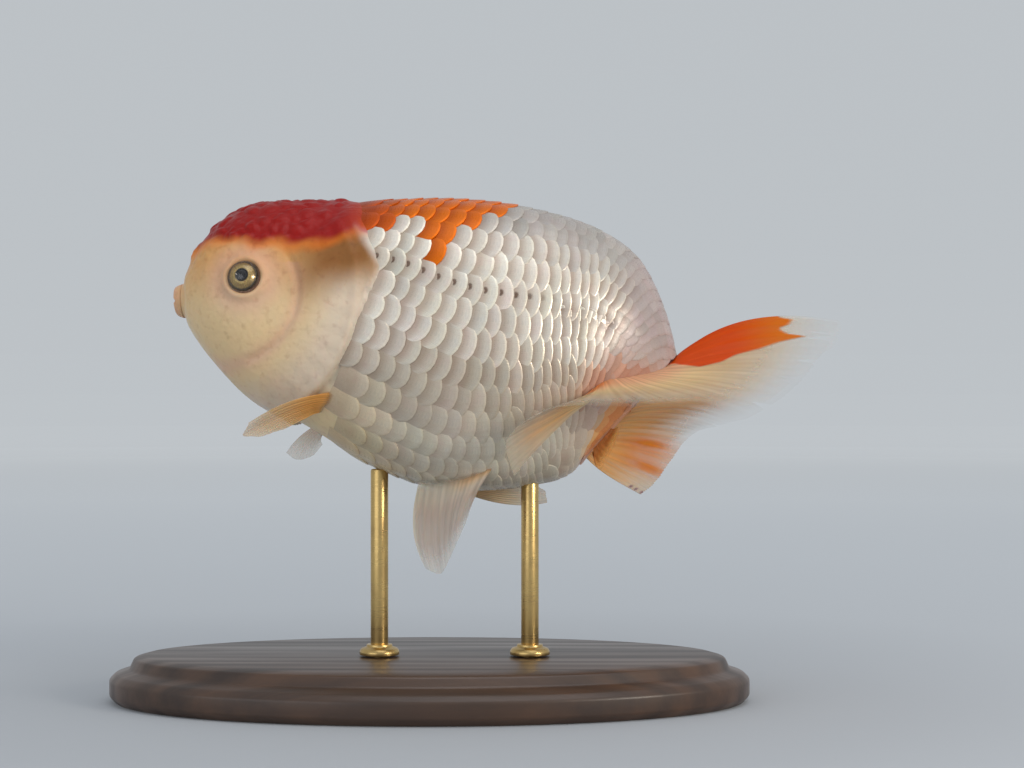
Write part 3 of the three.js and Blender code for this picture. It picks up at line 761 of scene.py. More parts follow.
def make_coat(name, side):
    points, faces, colours, edges, local, root_uv = [], [], [], [], [], []
    for along, around, pitch, row_pitch, _ in scale_sites(side):
        plate, w, q, fold, crisp = scale_plate(along, around, pitch, row_pitch)
        faces += plate_faces(len(points) * len(w))
        points.append(plate)
        own = scale_colour(along, around, body_at(np.array(along), np.array(around)))
        # Scales just below the fold get painted shade, strongest at the fold and fading downwards.
        colours.append(mix(own, own * FOLD_SHADE, fold ** 1.5))
        edges.append(np.full((len(w), 3), crisp))
        local.append(np.stack([w, q], 1))
        own_place = np.array([(along + 1) / (LAST_STATION + 2), (around + 1) / 2])
        patch = (np.stack([w, q], 1) - 0.5) * SHEET_PATCH
        root_uv.append(SHEET_EDGE + SHEET_SPAN * own_place + patch)
    coat = new_piece(name, np.concatenate(points), faces)
    paint(coat, "tint", np.concatenate(colours))
    paint(coat, "edge", np.concatenate(edges))
    corners = np.empty(len(coat.data.loops), dtype=int)
    coat.data.loops.foreach_get("vertex_index", corners)
    for label, values in (("OFBake", np.concatenate(root_uv)), ("plate", np.concatenate(local))):
        layer = coat.data.uv_layers.new(name=label)
        layer.data.foreach_set("uv", values[corners].ravel())
    outward(coat)
    bpy.ops.object.shade_smooth_by_angle(angle=math.radians(50))
    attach(coat, "root")
    return coat


coats = [make_coat("scales_left", 1), make_coat("scales_right", -1)]

# Each scale carries painted shade where it comes out from under the one in front, a painted highlight
# along its rim, and fine growth rings and rays.
scale_look, tree, shader = new_material("pearly scale", Coat_Weight=0.05, Coat_Roughness=0.20,
                                        Specular_IOR_Level=0.14)
tint = piece_colour(tree)
crisp = piece_share(tree, "edge")
plate_uv = add_node(tree, "UVMap", {"uv_map": "plate"}).outputs[0]
split = add_node(tree, "SeparateXYZ", Vector=plate_uv).outputs
# Painted shade: the front of each scale's free part, behind the rim of the scale in front.
front = add_math(tree, "MULTIPLY", add_range(tree, split[0], 0.52, 0.90, 1.0, 0.0), crisp)
# Painted highlight: a lighter band along each scale's free rim, which is also a little more metallic.
rim = add_math(tree, "MULTIPLY", add_range(tree, split[0], 0.90, 0.955, 0.0, 1.0), crisp)
shaded = add_mix(tree, tint, (0.66, 0.57, 0.52, 1), 1.0, "MULTIPLY")
rim_highlight_colour = add_mix(tree, tint, (1.32, 1.30, 1.22, 1), 1.0, "MULTIPLY")
striae = add_node(tree, "VectorMath", {"operation": "MULTIPLY"}, i0=plate_uv, i1=(2.0, 30.0, 1.0))
streaks = add_noise(tree, striae.outputs[0], 1.0, 3.0)
circles = add_node(tree, "VectorMath", {"operation": "MULTIPLY"}, i0=plate_uv, i1=(26.0, 3.0, 1.0))
growth = add_noise(tree, circles.outputs[0], 1.0)
relief = add_math(tree, "ADD", add_math(tree, "MULTIPLY", streaks, 0.6),
                  add_math(tree, "MULTIPLY", growth, 0.4))
plate_colour = add_mix(tree, tint, shaded, front)
plate_colour = add_mix(tree, plate_colour, rim_highlight_colour, add_math(tree, "MULTIPLY", rim, 0.75))
plate_colour = add_mix(tree, plate_colour, shaded, add_range(tree, relief, 0.42, 0.62, 0.0, 0.35))
pearly = use_group(tree, lustre, Colour=plate_colour, Strength=0.16, Size=420.0)
tree.links.new(pearly["Colour"], shader["Base Color"])
tree.links.new(add_range(tree, relief, 0.35, 0.65, 0.24, 0.40), shader["Roughness"])
tree.links.new(add_range(tree, rim, 0.0, 1.0, 0.12, 0.30), shader["Metallic"])
tree.links.new(add_bump(tree, relief, 0.25, 0.0001), shader["Normal"])
for coat in coats:
    coat.data.materials.append(scale_look)

# ---- Lateral line -------------------------------------------------------------------------------
# Each scale of the lateral line's row has a small dark pore on its middle line, where it comes out
# from under the scale in front. A pore is a soft brown pit: its patch of skin fades out over the
# scale's face, and the pores themselves fade towards the last one.
PORE_SIDES, PORE_LAST_STATION = 14, 7.6
PORE_BACK, PORE_UP = 0.16, 0.06      # from the scale's root, in column and row pitches
PORE_LIFT = 0.74 * SCALE_RISE + SCALE_DOME
PORE_STRETCH = 1.3                   # round the body
# From the rim inwards: radius, height and cover.
PORE_RINGS = [(0.58, 0.0, 0.0), (0.44, 0.02, 0.45), (0.28, 0.01, 0.9)]
PORE_PIT = -0.02         # the middle's height, under full cover


def make_pores(name, side):
    points, faces, cover = [], [], []
    for along, around, pitch, _, row in scale_sites(side):
        if abs(row) != LATERAL_ROW or along > PORE_LAST_STATION:
            continue
        at = np.array([along + PORE_BACK * pitch / spacing(along, around)])
        span = np.array([around - side * PORE_UP / SCALE_ROWS])
        centre, normal = body_at(at, span)[0], body_normal(at, span)[0]
        centre = centre + normal * (PORE_LIFT - COAT_DEPTH)
        rear = unit(body_at(at + 0.05, span)[0] - centre)
        across = np.cross(normal, rear)
        start = len(points)
        strength = 1 - 0.9 * float(smooth(6.8, PORE_LAST_STATION, at)[0])
        for radius, height, share in PORE_RINGS:
            for k in range(PORE_SIDES):
                turn = 2 * math.pi * k / PORE_SIDES
                spoke = rear * math.cos(turn) + across * math.sin(turn) * PORE_STRETCH
                points.append(centre + radius * spoke + normal * height)
                cover.append(share * strength)
        points.append(centre + normal * PORE_PIT)
        cover.append(strength)
        inner = start + (len(PORE_RINGS) - 1) * PORE_SIDES
        for ring in range(start, inner, PORE_SIDES):
            for k in range(PORE_SIDES):
                a, b = ring + k, ring + (k + 1) % PORE_SIDES
                faces.append((a, b, b + PORE_SIDES, a + PORE_SIDES))
        for k in range(PORE_SIDES):
            faces.append((inner + k, inner + (k + 1) % PORE_SIDES, inner + PORE_SIDES))
        faces.append(tuple(start + k for k in reversed(range(PORE_SIDES))))
    pores = new_piece(name, points, faces)
    paint(pores, "cover", np.repeat(np.array(cover)[:, None], 3, axis=1))
    outward(pores)
    bpy.ops.object.shade_smooth()
    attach(pores, "root")
    return pores


pore_look, tree, shader = new_material("pore skin", Coat_Weight=0.3)
fleck = add_noise(tree, object_place(tree), 2500.0)
pit_colour = add_mix(tree, (0.11, 0.060, 0.040, 1), (0.22, 0.13, 0.08, 1), fleck)
tree.links.new(pit_colour, shader["Base Color"])
tree.links.new(add_range(tree, fleck, 0.3, 0.7, 0.35, 0.6), shader["Roughness"])
tree.links.new(piece_share(tree, "cover"), shader["Alpha"])
for name, side in (("pores_left", 1), ("pores_right", -1)):
    make_pores(name, side).data.materials.append(pore_look)

# ---- Eyes ---------------------------------------------------------------------------------------
# Round eyes that look sideways from a rim of skin: a dark pupil, a brassy iris with fine radial
# threads and a bright inner edge, and a clear cornea over them.
EYE_RISE = 0.35          # of the eyeball's middle over its place in the solids
PUPIL, IRIS = math.radians(24), math.radians(53)
CORNEA_REACH = math.radians(62)
CORNEA_WIDTH, CORNEA_HEIGHT, CORNEA_BACK = 1.015, 1.03, 0.22    # in eye radii
IRIS_DISH, PUPIL_DIP, THREAD_RISE = 0.13, 0.10, 0.012      # in eye radii
PUPIL_BLACK = np.array([0.006, 0.006, 0.008])
IRIS_GOLD, IRIS_BRONZE = np.array([0.72, 0.50, 0.16]), np.array([0.30, 0.17, 0.06])
EYE_WHITE = np.array([0.45, 0.30, 0.24])
LOOK = (-0.16, 0.10)     # a little forward and up from straight sideways


def unit_ball(name, segments, rings):
    """A ball of radius 1, its points, and each point's angle from the pole."""
    bpy.ops.object.select_all(action="DESELECT")
    bpy.ops.mesh.primitive_uv_sphere_add(segments=segments, ring_count=rings, radius=1.0)
    ball = bpy.context.active_object
    ball.name = name
    points = mesh_points(ball)
    return ball, points, np.arccos(np.clip(points[:, 2], -1, 1))


def set_in_head(piece, points, side):
    """Turns the pole outwards, scales the unit points to the eye and puts them in its socket."""
    facing_out = Vector((side, *LOOK)).to_track_quat("Z", "Y").to_matrix()
    turned = points @ np.array(facing_out).T * EYE_RADIUS
    move_points(piece, to_row_frame(turned + np.array([side * (EYE_X + EYE_RISE), EYE_Y, EYE_Z])))


def eyeball(name, side):
    ball, points, polar = unit_ball(name, 96, 72)
    spoke = np.arctan2(points[:, 1], points[:, 0])
    # The iris is a shallow dish inside the ball's round, and the pupil a darker dip in it.
    dish = IRIS_DISH * fade(IRIS, IRIS + 0.10, polar)
    dish = dish + PUPIL_DIP * fade(PUPIL - 0.10, PUPIL, polar)
    threads = 0.5 + 0.5 * np.sin(spoke * 46 + 3 * np.sin(spoke * 7))
    threads = threads * smooth(PUPIL, PUPIL + 0.2, polar)
    points *= (1 - dish + THREAD_RISE * threads * (polar < IRIS))[:, None]
    bright = bell(polar, PUPIL + 0.07, 0.06)
    colour = mix(IRIS_BRONZE, IRIS_GOLD, np.clip(0.45 + 0.35 * threads + 0.8 * bright, 0, 1))
    colour = mix(colour, IRIS_BRONZE * 0.25, smooth(IRIS - 0.12, IRIS, polar))
    colour = mix(PUPIL_BLACK, colour, smooth(PUPIL - 0.03, PUPIL + 0.03, polar))
    colour = mix(colour, EYE_WHITE, smooth(IRIS + 0.02, IRIS + 0.2, polar))
    set_in_head(ball, points, side)
    paint(ball, "tint", colour)
    bpy.ops.object.shade_smooth()
    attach(ball, "root")
    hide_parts("eye_left" if side > 0 else "eye_right")
    return ball


def cornea(name, side):
    dome, points, polar = unit_ball(name, 64, 48)
    # Everything past the dome's reach is drawn in flat behind it, so the dome is a closed lens.
    reach = np.minimum(polar, CORNEA_REACH)
    ring = points[:, :2] / np.maximum(np.linalg.norm(points[:, :2], axis=1), 1e-9)[:, None]
    width = np.where(polar <= CORNEA_REACH, np.sin(reach),
                     math.sin(CORNEA_REACH) * (math.pi - polar) / (math.pi - CORNEA_REACH))
    height = np.where(polar <= CORNEA_REACH, np.cos(reach),
                      math.cos(CORNEA_REACH)
                      + CORNEA_BACK * (1 - width / math.sin(CORNEA_REACH)))
    points = np.concatenate([ring * width[:, None] * CORNEA_WIDTH,
                             height[:, None] * CORNEA_HEIGHT], 1)
    set_in_head(dome, points, side)
    outward(dome)
    bpy.ops.object.shade_smooth()
    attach(dome, "root")
    return dome


iris_look, tree, shader = new_material("iris", Coat_Weight=0.8, Coat_Roughness=0.05)
tint = piece_colour(tree)
speck = add_noise(tree, object_place(tree), 3500.0, 3.0)
darker = add_mix(tree, tint, (0.35, 0.22, 0.12, 1), 1.0, "MULTIPLY")
specked = add_mix(tree, tint, darker, add_range(tree, speck, 0.5, 0.7, 0.0, 0.7))
tree.links.new(specked, shader["Base Color"])
tree.links.new(add_range(tree, speck, 0.3, 0.7, 0.5, 0.15), shader["Metallic"])
tree.links.new(add_range(tree, speck, 0.3, 0.7, 0.18, 0.34), shader["Roughness"])
cornea_look, tree, shader = new_material("cornea", Roughness=0.02, IOR=1.34, Transmission_Weight=1.0)
film = add_noise(tree, object_place(tree), 900.0)
tree.links.new(add_bump(tree, film, 0.05, 0.0001), shader["Normal"])
for side, word in ((1, "left"), (-1, "right")):
    eyeball("eyeball_" + word, side).data.materials.append(iris_look)
    cornea("cornea_" + word, side).data.materials.append(cornea_look)

# ---- Tail ---------------------------------------------------------------------------------------
# A double tail: each half is a thin web on soft rays that fork twice towards a ragged margin. It grows
# along the side of the tail root, spreads backwards and folds down at its front corner.
# A key ray is its root on the body (station, degrees round from the back), its bend and its tip.
TAIL_LEFT = [
    ((8.85, 112), (17.7, 19.5, -17.9), (15.8, 14.1, -24.3)),
    ((8.93, 110), (20.4, 18.6, -15.4), (22.0, 12.9, -18.6)),
    ((9.05, 105), (20.5, 24.3, -12.6), (25.3, 19.4, -14.2)),
    ((9.4, 98), (18.3, 31.5, -11.4), (25.6, 33.0, -13.8)),
    ((10.0, 91), (15.4, 40.0, -10.4), (22.2, 45.0, -13.5)),
    ((10.9, 80), (11.9, 47.9, -8.4), (15.4, 55.0, -12.2)),
    ((11.5, 67), (8.4, 51.6, -5.0), (12.1, 62.1, -7.6)),
    ((12, 42), (4.0, 52.1, 0.0), (7.9, 68.7, -1.6)),
    ((12.1, 10), (2.5, 51.6, 7.6), (4.5, 71.5, 3.5))]
TAIL_RIGHT = [
    ((9.6, -140), (-13.7, 29.0, -20.4), (-20.5, 37.7, -23.9)),
    ((9.7, -134), (-16.8, 32.0, -17.6), (-24.2, 41.3, -20.8)),
    ((9.85, -127), (-19.0, 34.4, -14.1), (-27.5, 44.6, -15.9)),
    ((10.1, -118), (-18.1, 37.5, -10.8), (-27.6, 47.9, -12.3)),
    ((10.5, -108), (-15.2, 43.2, -8.2), (-24.8, 52.5, -11.2)),
    ((11.1, -95), (-12.0, 48.3, -6.3), (-19.6, 56.8, -10.4)),
    ((11.7, -75), (-8.5, 52.5, -3.3), (-14.1, 63.7, -6.6)),
    ((12, -42), (-4.1, 53.0, 0.9), (-8.0, 70.1, 0.2)),
    ((12.1, -10), (-1.0, 52.0, 7.9), (-2.9, 72.0, 4.5))]
FIN_SINK = 1.2           # the roots reach this far into the body
FIN_ROOT, FIN_RAY, FIN_WEB = 0.85, 0.20, 0.13     # thicknesses
FIN_PLEAT = 0.035        # rise and fall of the web between rays
FIN_REACH = 0.985        # how far the longest rays run towards the key rays' tips
FIN_CREAM = np.array([0.74, 0.52, 0.27])
FIN_PALE = np.array([0.60, 0.52, 0.40])
FIN_TAN = np.array([0.72, 0.34, 0.09])
FIN_ORANGE = np.array([0.58, 0.058, 0.001])
FIN_PEACH = np.array([0.68, 0.33, 0.20])
BLAZE_TIP = np.array([0.58, 0.135, 0.003])
ROOT_ORANGE = np.array([0.66, 0.20, 0.045])
LOBE_BROWN = np.array([0.50, 0.17, 0.045])
SPOT_ORANGE = np.array([0.68, 0.20, 0.012])
DOT_RED = np.array([0.20, 0.006, 0.006])
# The orange blaze on the left half's upper lobe: its lower edge across the rays for each share along
# them, and how far along each ray it runs.
BLAZE_LOW = [(0.0, 0.905), (0.06, 0.885), (0.11, 0.853), (0.27, 0.80), (0.39, 0.823), (0.47, 0.855),
             (0.60, 0.875), (0.70, 0.897), (0.83, 0.920)]
BLAZE_END = [(0.78, 0.36), (0.83, 0.50), (0.87, 0.66), (0.90, 0.74), (0.915, 0.80),
             (0.922, 0.83), (0.930, 0.74), (0.944, 0.700), (0.956, 0.695), (0.966, 0.735),
             (0.985, 0.75), (0.992, 0.70), (1.0, 0.68)]


def ray_ridge(u, v, rays, fork=0.42):
    """1 on a ray's middle, 0 on the web between rays; each ray forks in two and then in four."""
    place = np.mod(u * rays, 1) - 0.5
    first = 0.25 * smooth(fork, 1.0, v)
    second = 0.12 * smooth(fork + 0.28, 1.05, v)
    offset = np.abs(np.abs(np.abs(place) - first) - second)
    return bell(offset, 0, 0.16 - 0.09 * smooth(fork, 0.9, v))


def fin_sheet(keys):
    """The fin's middle surface over its key rays: u runs across the rays, v from root to tip."""
    roots = []
    for (station, degrees), bend, tip in keys:
        place = body_section(np.array(station), np.radians(degrees))
        inside = np.clip(station, 0, LAST_STATION)
        roots.append(place + unit((back_line(inside) + belly_line(inside)) / 2 - place) * FIN_SINK)
    root_line = curve_through([tuple(r) for r in roots])
    bend_line = curve_through([bend for _, bend, _ in keys])
    tip_line = curve_through([tip for _, _, tip in keys])

    def at(u, v):
        key, v = u * (len(keys) - 1), v[..., None]
        return root_line(key) * (1 - v) ** 2 + 2 * bend_line(key) * v * (1 - v) + tip_line(key) * v ** 2
    return at


def web_noise(across, along, seed):
    """Soft noise between -1 and 1 over a web, one value for each pair of places."""
    return np.array([noise.noise(Vector((a, b, seed))) for a, b in zip(across, along)])


def make_fin(name, keys, colour, rays, across, along, nodes,
             margin=0.025, wave=0.35, slits=0):
    """A fin from a grid: its sheet, rays, ragged margin and waves, then a wall from Solidify."""
    bpy.ops.object.select_all(action="DESELECT")
    bpy.ops.mesh.primitive_grid_add(x_subdivisions=across, y_subdivisions=along, size=2.0)
    fin = bpy.context.active_object
    fin.name = name
    grid = mesh_points(fin)
    u, v = (grid[:, 0] + 1) / 2, (grid[:, 1] + 1) / 2
    at = fin_sheet(keys)
    seed = sum(map(ord, name))
    # Rays wander a little, and the margin is nibbled between their tips.
    wander = web_noise(u * 5, v * 1.5, seed)
    ray_u = np.clip(u + 0.12 / rays * wander, 0, 1)
    tips = ray_ridge(ray_u, np.ones_like(v), rays)
    ragged = web_noise(u * rays * 0.45, np.full_like(v, 0.5), seed)
    reach = FIN_REACH - 0.5 * margin * (1 - tips) - 2.2 * margin * np.clip(ragged + 0.15, 0, 1)
    draw = np.random.default_rng(seed)
    for _ in range(slits):
        place, width = draw.uniform(0.05, 0.97), draw.uniform(0.003, 0.007)
        depth = draw.uniform(0.05, 0.16)
        reach -= depth * bell(u, place, width)
    v = v * reach
    step = 1e-3
    points = at(u, v)
    normal = unit(np.cross(at(np.clip(u + step, 0, 1), v) - at(np.clip(u - step, 0, 1), v),
                           at(u, np.clip(v + step, 0, 1)) - at(u, np.clip(v - step, 0, 1))))
    ridge = ray_ridge(ray_u, v, rays)
    pleat = FIN_PLEAT * np.sin(2 * math.pi * ray_u * rays) * smooth(0.1, 0.5, v)
    billow = wave * v ** 1.5 * web_noise(u * 4.5, v * 1.2, seed + 9)
    points = points + normal * (pleat + 2 * billow)[:, None]
    move_points(fin, to_row_frame(points))
    tint, cover = colour(u, v, ridge)
    lines = web_noise(ray_u * rays * 3.1, v * 1.3, seed + 4)
    tint = np.clip(tint * (1 + 0.07 * lines + 0.03 * (ridge - 0.5))[:, None], 0, 1)
    paint(fin, "tint", tint)
    cover = np.clip(cover * (0.92 + 0.16 * ridge + 0.22 * lines), 0.03, 1)
    paint(fin, "cover", np.repeat(cover[:, None], 3, axis=1))
    edge_ray = bell(np.minimum(u, 1 - u) * rays, 0, 0.5)
    ray_part = (FIN_WEB + (FIN_RAY - FIN_WEB) * np.maximum(ridge, edge_ray)) * (1 - 0.45 * v)
    thickness = ray_part + (FIN_ROOT - ray_part) * fade(0.0, 0.22, v)
    wall = fin.vertex_groups.new(name="wall")
    for index, share in enumerate(thickness / FIN_ROOT):
        wall.add([index], float(share), "REPLACE")
    solidify = fin.modifiers.new("wall", "SOLIDIFY")
    solidify.thickness, solidify.offset = FIN_ROOT * MM, 0.0
    solidify.vertex_group = "wall"
    only(fin)
    bpy.ops.object.modifier_apply(modifier=solidify.name)
    outward(fin)
    bpy.ops.object.shade_smooth_by_angle(angle=math.radians(60))
    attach(fin, "root")
    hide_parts(*nodes)
    return fin


def blaze(u, v):
    """1 inside the orange blaze, 0 outside."""
    low = np.interp(v, *zip(*BLAZE_LOW), right=1.1)
    end = value_at(BLAZE_END, u)
    return smooth(-0.006, 0.006, u - low) * smooth(-0.012, 0.012, end - v)


def left_tail_colour(u, v, ridge):
    """Cream web, tan in the folded corner, peach and orange along the root, and the blaze."""
    tint = mix(FIN_CREAM, FIN_PALE, smooth(0.2, 0.75, v))
    lower = fade(0.06, 0.30, u)
    middle = smooth(0.05, 0.35, v) * fade(0.6, 1.0, v)
    tint = mix(tint, FIN_TAN, 0.60 * lower * middle * (0.8 + 0.2 * ridge))
    tint = mix(tint, FIN_PALE, 0.6 * fade(0.0, 0.07, u))
    tint = mix(tint, FIN_PEACH, 0.80 * fade(0.06, 0.30, v) * smooth(0.2, 0.35, u))
    root = fade(0.06, 0.20, v - 0.30 * smooth(0.33, 0.20, u))
    tint = mix(tint, ROOT_ORANGE, 0.9 * root * smooth(0.16, 0.22, u) * fade(0.30, 0.46, u))
    flame = blaze(u, v)
    tint = mix(tint, mix(FIN_ORANGE, BLAZE_TIP, smooth(0.42, 0.78, v + 0.25 * (u - 0.88))), flame)
    cover = 0.90 - 0.42 * smooth(0.15, 0.50, v) - 0.38 * smooth(0.50, 0.90, v)
    thicker = 0.24 * smooth(0.2, 0.5, v) + 0.14 * smooth(0.6, 0.9, v)
    cover = cover + fade(0.12, 0.35, u) * thicker
    cover = cover * (1 - 0.90 * smooth(0.72, 0.97, v) * smooth(0.25, 0.45, u))
    return tint, np.maximum(cover, 1.4 * flame)


# Orange on the right half's lower lobe, a haze with two streaks in it: the middle and the half size
# across the rays, the same along them, and the strength.
TAIL_SPOTS = [(0.220, 0.150, 0.72, 0.46, 0.52),
              (0.272, 0.055, 0.66, 0.34, 0.80),
              (0.155, 0.045, 0.80, 0.34, 0.72)]


def right_tail_colour(u, v, ridge):
    """Cream and tan web, brown at the root, with the orange haze, its streaks and three dots."""
    tint = mix(FIN_CREAM, FIN_PALE, smooth(0.70, 1.0, v))
    tint = mix(tint, FIN_TAN, 0.88 * fade(0.35, 1.0, v) * (0.8 + 0.2 * ridge))
    tint = mix(tint, LOBE_BROWN, 0.85 * fade(0.02, 0.20, v) * fade(0.4, 0.7, u))
    cover = 0.92 - 0.40 * smooth(0.35, 0.85, v) - 0.42 * smooth(0.30, 0.85, v) * smooth(0.30, 0.55, u)
    cover = cover * (1 - 0.80 * smooth(0.80, 0.98, v) * smooth(0.08, 0.2, u))
    for middle_u, half_u, middle_v, half_v, depth in TAIL_SPOTS:
        spot = np.exp(-((u - middle_u) / half_u) ** 2 * 1.6 - ((v - middle_v) / half_v) ** 2 * 1.6)
        tint = mix(tint, SPOT_ORANGE, np.clip(1.3 * depth * spot, 0, 0.92))
        cover = np.maximum(cover, 0.95 * np.clip(1.3 * depth * spot, 0, 1))
    # Three dark red dots lie near the tip of the lowest ray.
    for place in (0.84, 0.90, 0.97):
        dot = bell(u, 0.014, 0.010) * bell(v, place, 0.014)
        tint = mix(tint, DOT_RED, np.clip(1.6 * dot, 0, 1))
    return tint, cover


# The web is see-through by its own cover, and dull and wet like the skin.
fin_look, tree, shader = new_material("fin web", Coat_Weight=0.03, Coat_Roughness=0.2,
                                      Subsurface_Weight=0.10, Subsurface_Scale=0.0010,
                                      Specular_IOR_Level=0.12)
wet = use_group(tree, flesh, Size=1500.0, Low=0.30, High=0.52)
pearly = use_group(tree, lustre, Colour=piece_colour(tree), Strength=0.10, Size=240.0)
tree.links.new(pearly["Colour"], shader["Base Color"])
tree.links.new(piece_share(tree, "cover"), shader["Alpha"])
tree.links.new(wet["Roughness"], shader["Roughness"])
tree.links.new(add_bump(tree, wet["Height"], 0.10, 0.0001), shader["Normal"])
fins = [
    make_fin("tail_left", TAIL_LEFT, left_tail_colour, 22, 330, 64,
             ("tail_lower_left", "tail_upper_left"), slits=7),
    make_fin("tail_right", TAIL_RIGHT, right_tail_colour, 20, 300, 60,
             ("tail_lower_right", "tail_upper_right"), slits=6)]

# ---- Paired fins --------------------------------------------------------------------------------
# Two pectorals behind the throat, two pelvics under the belly and two small anal fins behind the vent,
# all of the same rayed web as the tail, with fewer rays.
PECTORAL_LEFT = [
    ((4.55, 130), (15.7, -22.5, -10.6), (17.0, -29.3, -15.6)),
    ((4.5, 135), (14.4, -23.3, -12.6), (15.7, -30.2, -17.6)),
    ((4.4, 140), (13.2, -22.7, -14.1), (14.7, -27.7, -17.5)),
    ((4.32, 146), (12.1, -21.1, -14.5), (12.9, -23.8, -16.0))]
PECTORAL_RIGHT = [
    ((4.55, -130), (-15.3, -23.7, -12.3), (-17.5, -26.5, -16.9)),
    ((4.5, -135), (-14.4, -22.8, -13.6), (-15.8, -24.2, -18.2)),
    ((4.4, -140), (-13.4, -21.4, -14.2), (-14.2, -21.3, -17.6)),
    ((4.32, -146), (-12.0, -20.4, -14.6), (-12.4, -19.3, -15.6))]
PELVIC_LEFT = [
    ((5.9, 169), (4.6, -4.4, -31.8), (6.7, -0.1, -38.9)),
    ((6.2, 163), (5.6, 0.2, -32.1), (7.6, 2.3, -39.8)),
    ((6.6, 157), (7.0, 3.6, -30.3), (8.1, 4.4, -35.8)),
    ((7.0, 150), (7.5, 7.4, -26.6), (8.5, 6.9, -30.2))]
PELVIC_RIGHT = [
    ((6.2, -168), (-7.6, 12.6, -28.2), (-12.7, 20.6, -25.8)),
    ((6.35, -165), (-9.7, 13.7, -25.8), (-14.5, 20.4, -23.8)),
    ((6.6, -162), (-11.2, 13.1, -23.6), (-16.0, 17.9, -22.0))]
ANAL_LEFT = [
    ((12.15, 155), (2.8, 28.2, -20.8), (3.0, 29.5, -21.2)),
    ((12.3, 140), (3.8, 30.2, -18.0), (3.8, 31.4, -17.9)),
    ((12.35, 125), (4.3, 31.9, -14.7), (4.2, 32.9, -14.2))]
ANAL_RIGHT = [((station, -degrees), (-bend[0], bend[1], bend[2]), (-tip[0], tip[1], tip[2]))
              for (station, degrees), bend, tip in ANAL_LEFT]
FIN_PINKISH = np.array([0.52, 0.40, 0.32])


def pectoral_colour(u, v, ridge):
    tint = mix(FIN_TAN * 0.92, FIN_CREAM * 0.85, smooth(0.15, 0.85, v))
    cover = 0.92 - 0.30 * smooth(0.25, 0.7, v) - 0.27 * smooth(0.7, 1.0, v)
    return tint, cover * smooth(0.0, 0.12, v)


def clear_pectoral_colour(u, v, ridge):
    return mix(FIN_PALE, FIN_PEACH, 0.3 * (1 - v)), 0.70 - 0.45 * smooth(0.3, 1.0, v)


def pelvic_colour(u, v, ridge):
    tint = mix(FIN_PALE, FIN_PINKISH, 0.8 * smooth(0.10, 0.35, v) * fade(0.75, 1.0, v))
    middle = smooth(0.2, 0.45, v) * fade(0.6, 0.95, v)
    tint = mix(tint, FIN_PINKISH * 0.78, 0.30 * (1 - ridge) * middle)
    tint = mix(tint, FIN_TAN, 0.75 * fade(0.05, 0.26, v) * smooth(0.3, 0.8, u))
    tint = mix(tint, FIN_PALE * 1.12, bell(u, 0, 0.05))
    cover = 0.95 - 0.30 * smooth(0.20, 0.55, v) - 0.42 * smooth(0.55, 1.0, v)
    return tint, cover * smooth(0.02, 0.16, v)


def far_pelvic_colour(u, v, ridge):
    return mix(FIN_CREAM, FIN_PALE, smooth(0.2, 0.8, v)), 0.90 - 0.45 * smooth(0.4, 1.0, v)


def anal_colour(u, v, ridge):
    return mix(LOBE_BROWN, FIN_TAN, smooth(0.0, 0.8, v)), 0.85 - 0.72 * smooth(0.25, 0.95, v)


# Each fin: its solid, key rays, colours, number of rays, and grid across and along the rays.
for name, keys, colour, rays, across, along in (
        ("pectoral_fin_left", PECTORAL_LEFT, pectoral_colour, 11, 130, 44),
        ("pectoral_fin_right", PECTORAL_RIGHT, clear_pectoral_colour, 9, 110, 40),
        ("pelvic_fin_left", PELVIC_LEFT, pelvic_colour, 9, 130, 46),
        ("pelvic_fin_right", PELVIC_RIGHT, far_pelvic_colour, 9, 110, 40),
        ("anal_fin_left", ANAL_LEFT, anal_colour, 7, 80, 30),
        ("anal_fin_right", ANAL_RIGHT, anal_colour, 7, 80, 30)):
    fins.append(make_fin(name + "_web", keys, colour, rays, across, along, (name,),
                         margin=0.012, wave=0.15))
for fin in fins:
    fin.data.materials.append(fin_look)

# ---- Stand --------------------------------------------------------------------------------------
# A low oval base of oiled walnut with a stepped, softened edge, and two brass rods that stand in
# it through turned collars and end against the belly.
BASE_HALF_LENGTH, BASE_HALF_WIDTH = 55.0, 31.0
# The base's rim from below: inset and height.
BASE_STEPS = [(1.2, 0.0), (0.0, 1.2), (0.0, 4.0), (1.0, 5.0), (3.4, 5.8), (4.2, 7.5), (6.0, 8.0)]
ROD_X, ROD_Y, ROD_RADIUS = 3.4, (-8.5, 17.2), 1.5
ROD_FOOT, ROD_HEAD = 3.7, 40.0
# The turned collar from its foot: radius and height.
COLLAR_PROFILE = [(3.4, 8.3), (3.4, 8.9), (3.1, 9.4), (2.2, 9.7), (2.2, 10.1), (1.9, 10.1)]


def ease_edges(piece, width, segments, least_angle=30):
    """Rounds a piece's edges where its faces turn by more than an angle."""
    bevel = piece.modifiers.new("eased edges", "BEVEL")
    bevel.width, bevel.segments = width * MM, segments
    bevel.limit_method, bevel.angle_limit = "ANGLE", math.radians(least_angle)
    only(piece)
    bpy.ops.object.modifier_apply(modifier=bevel.name)


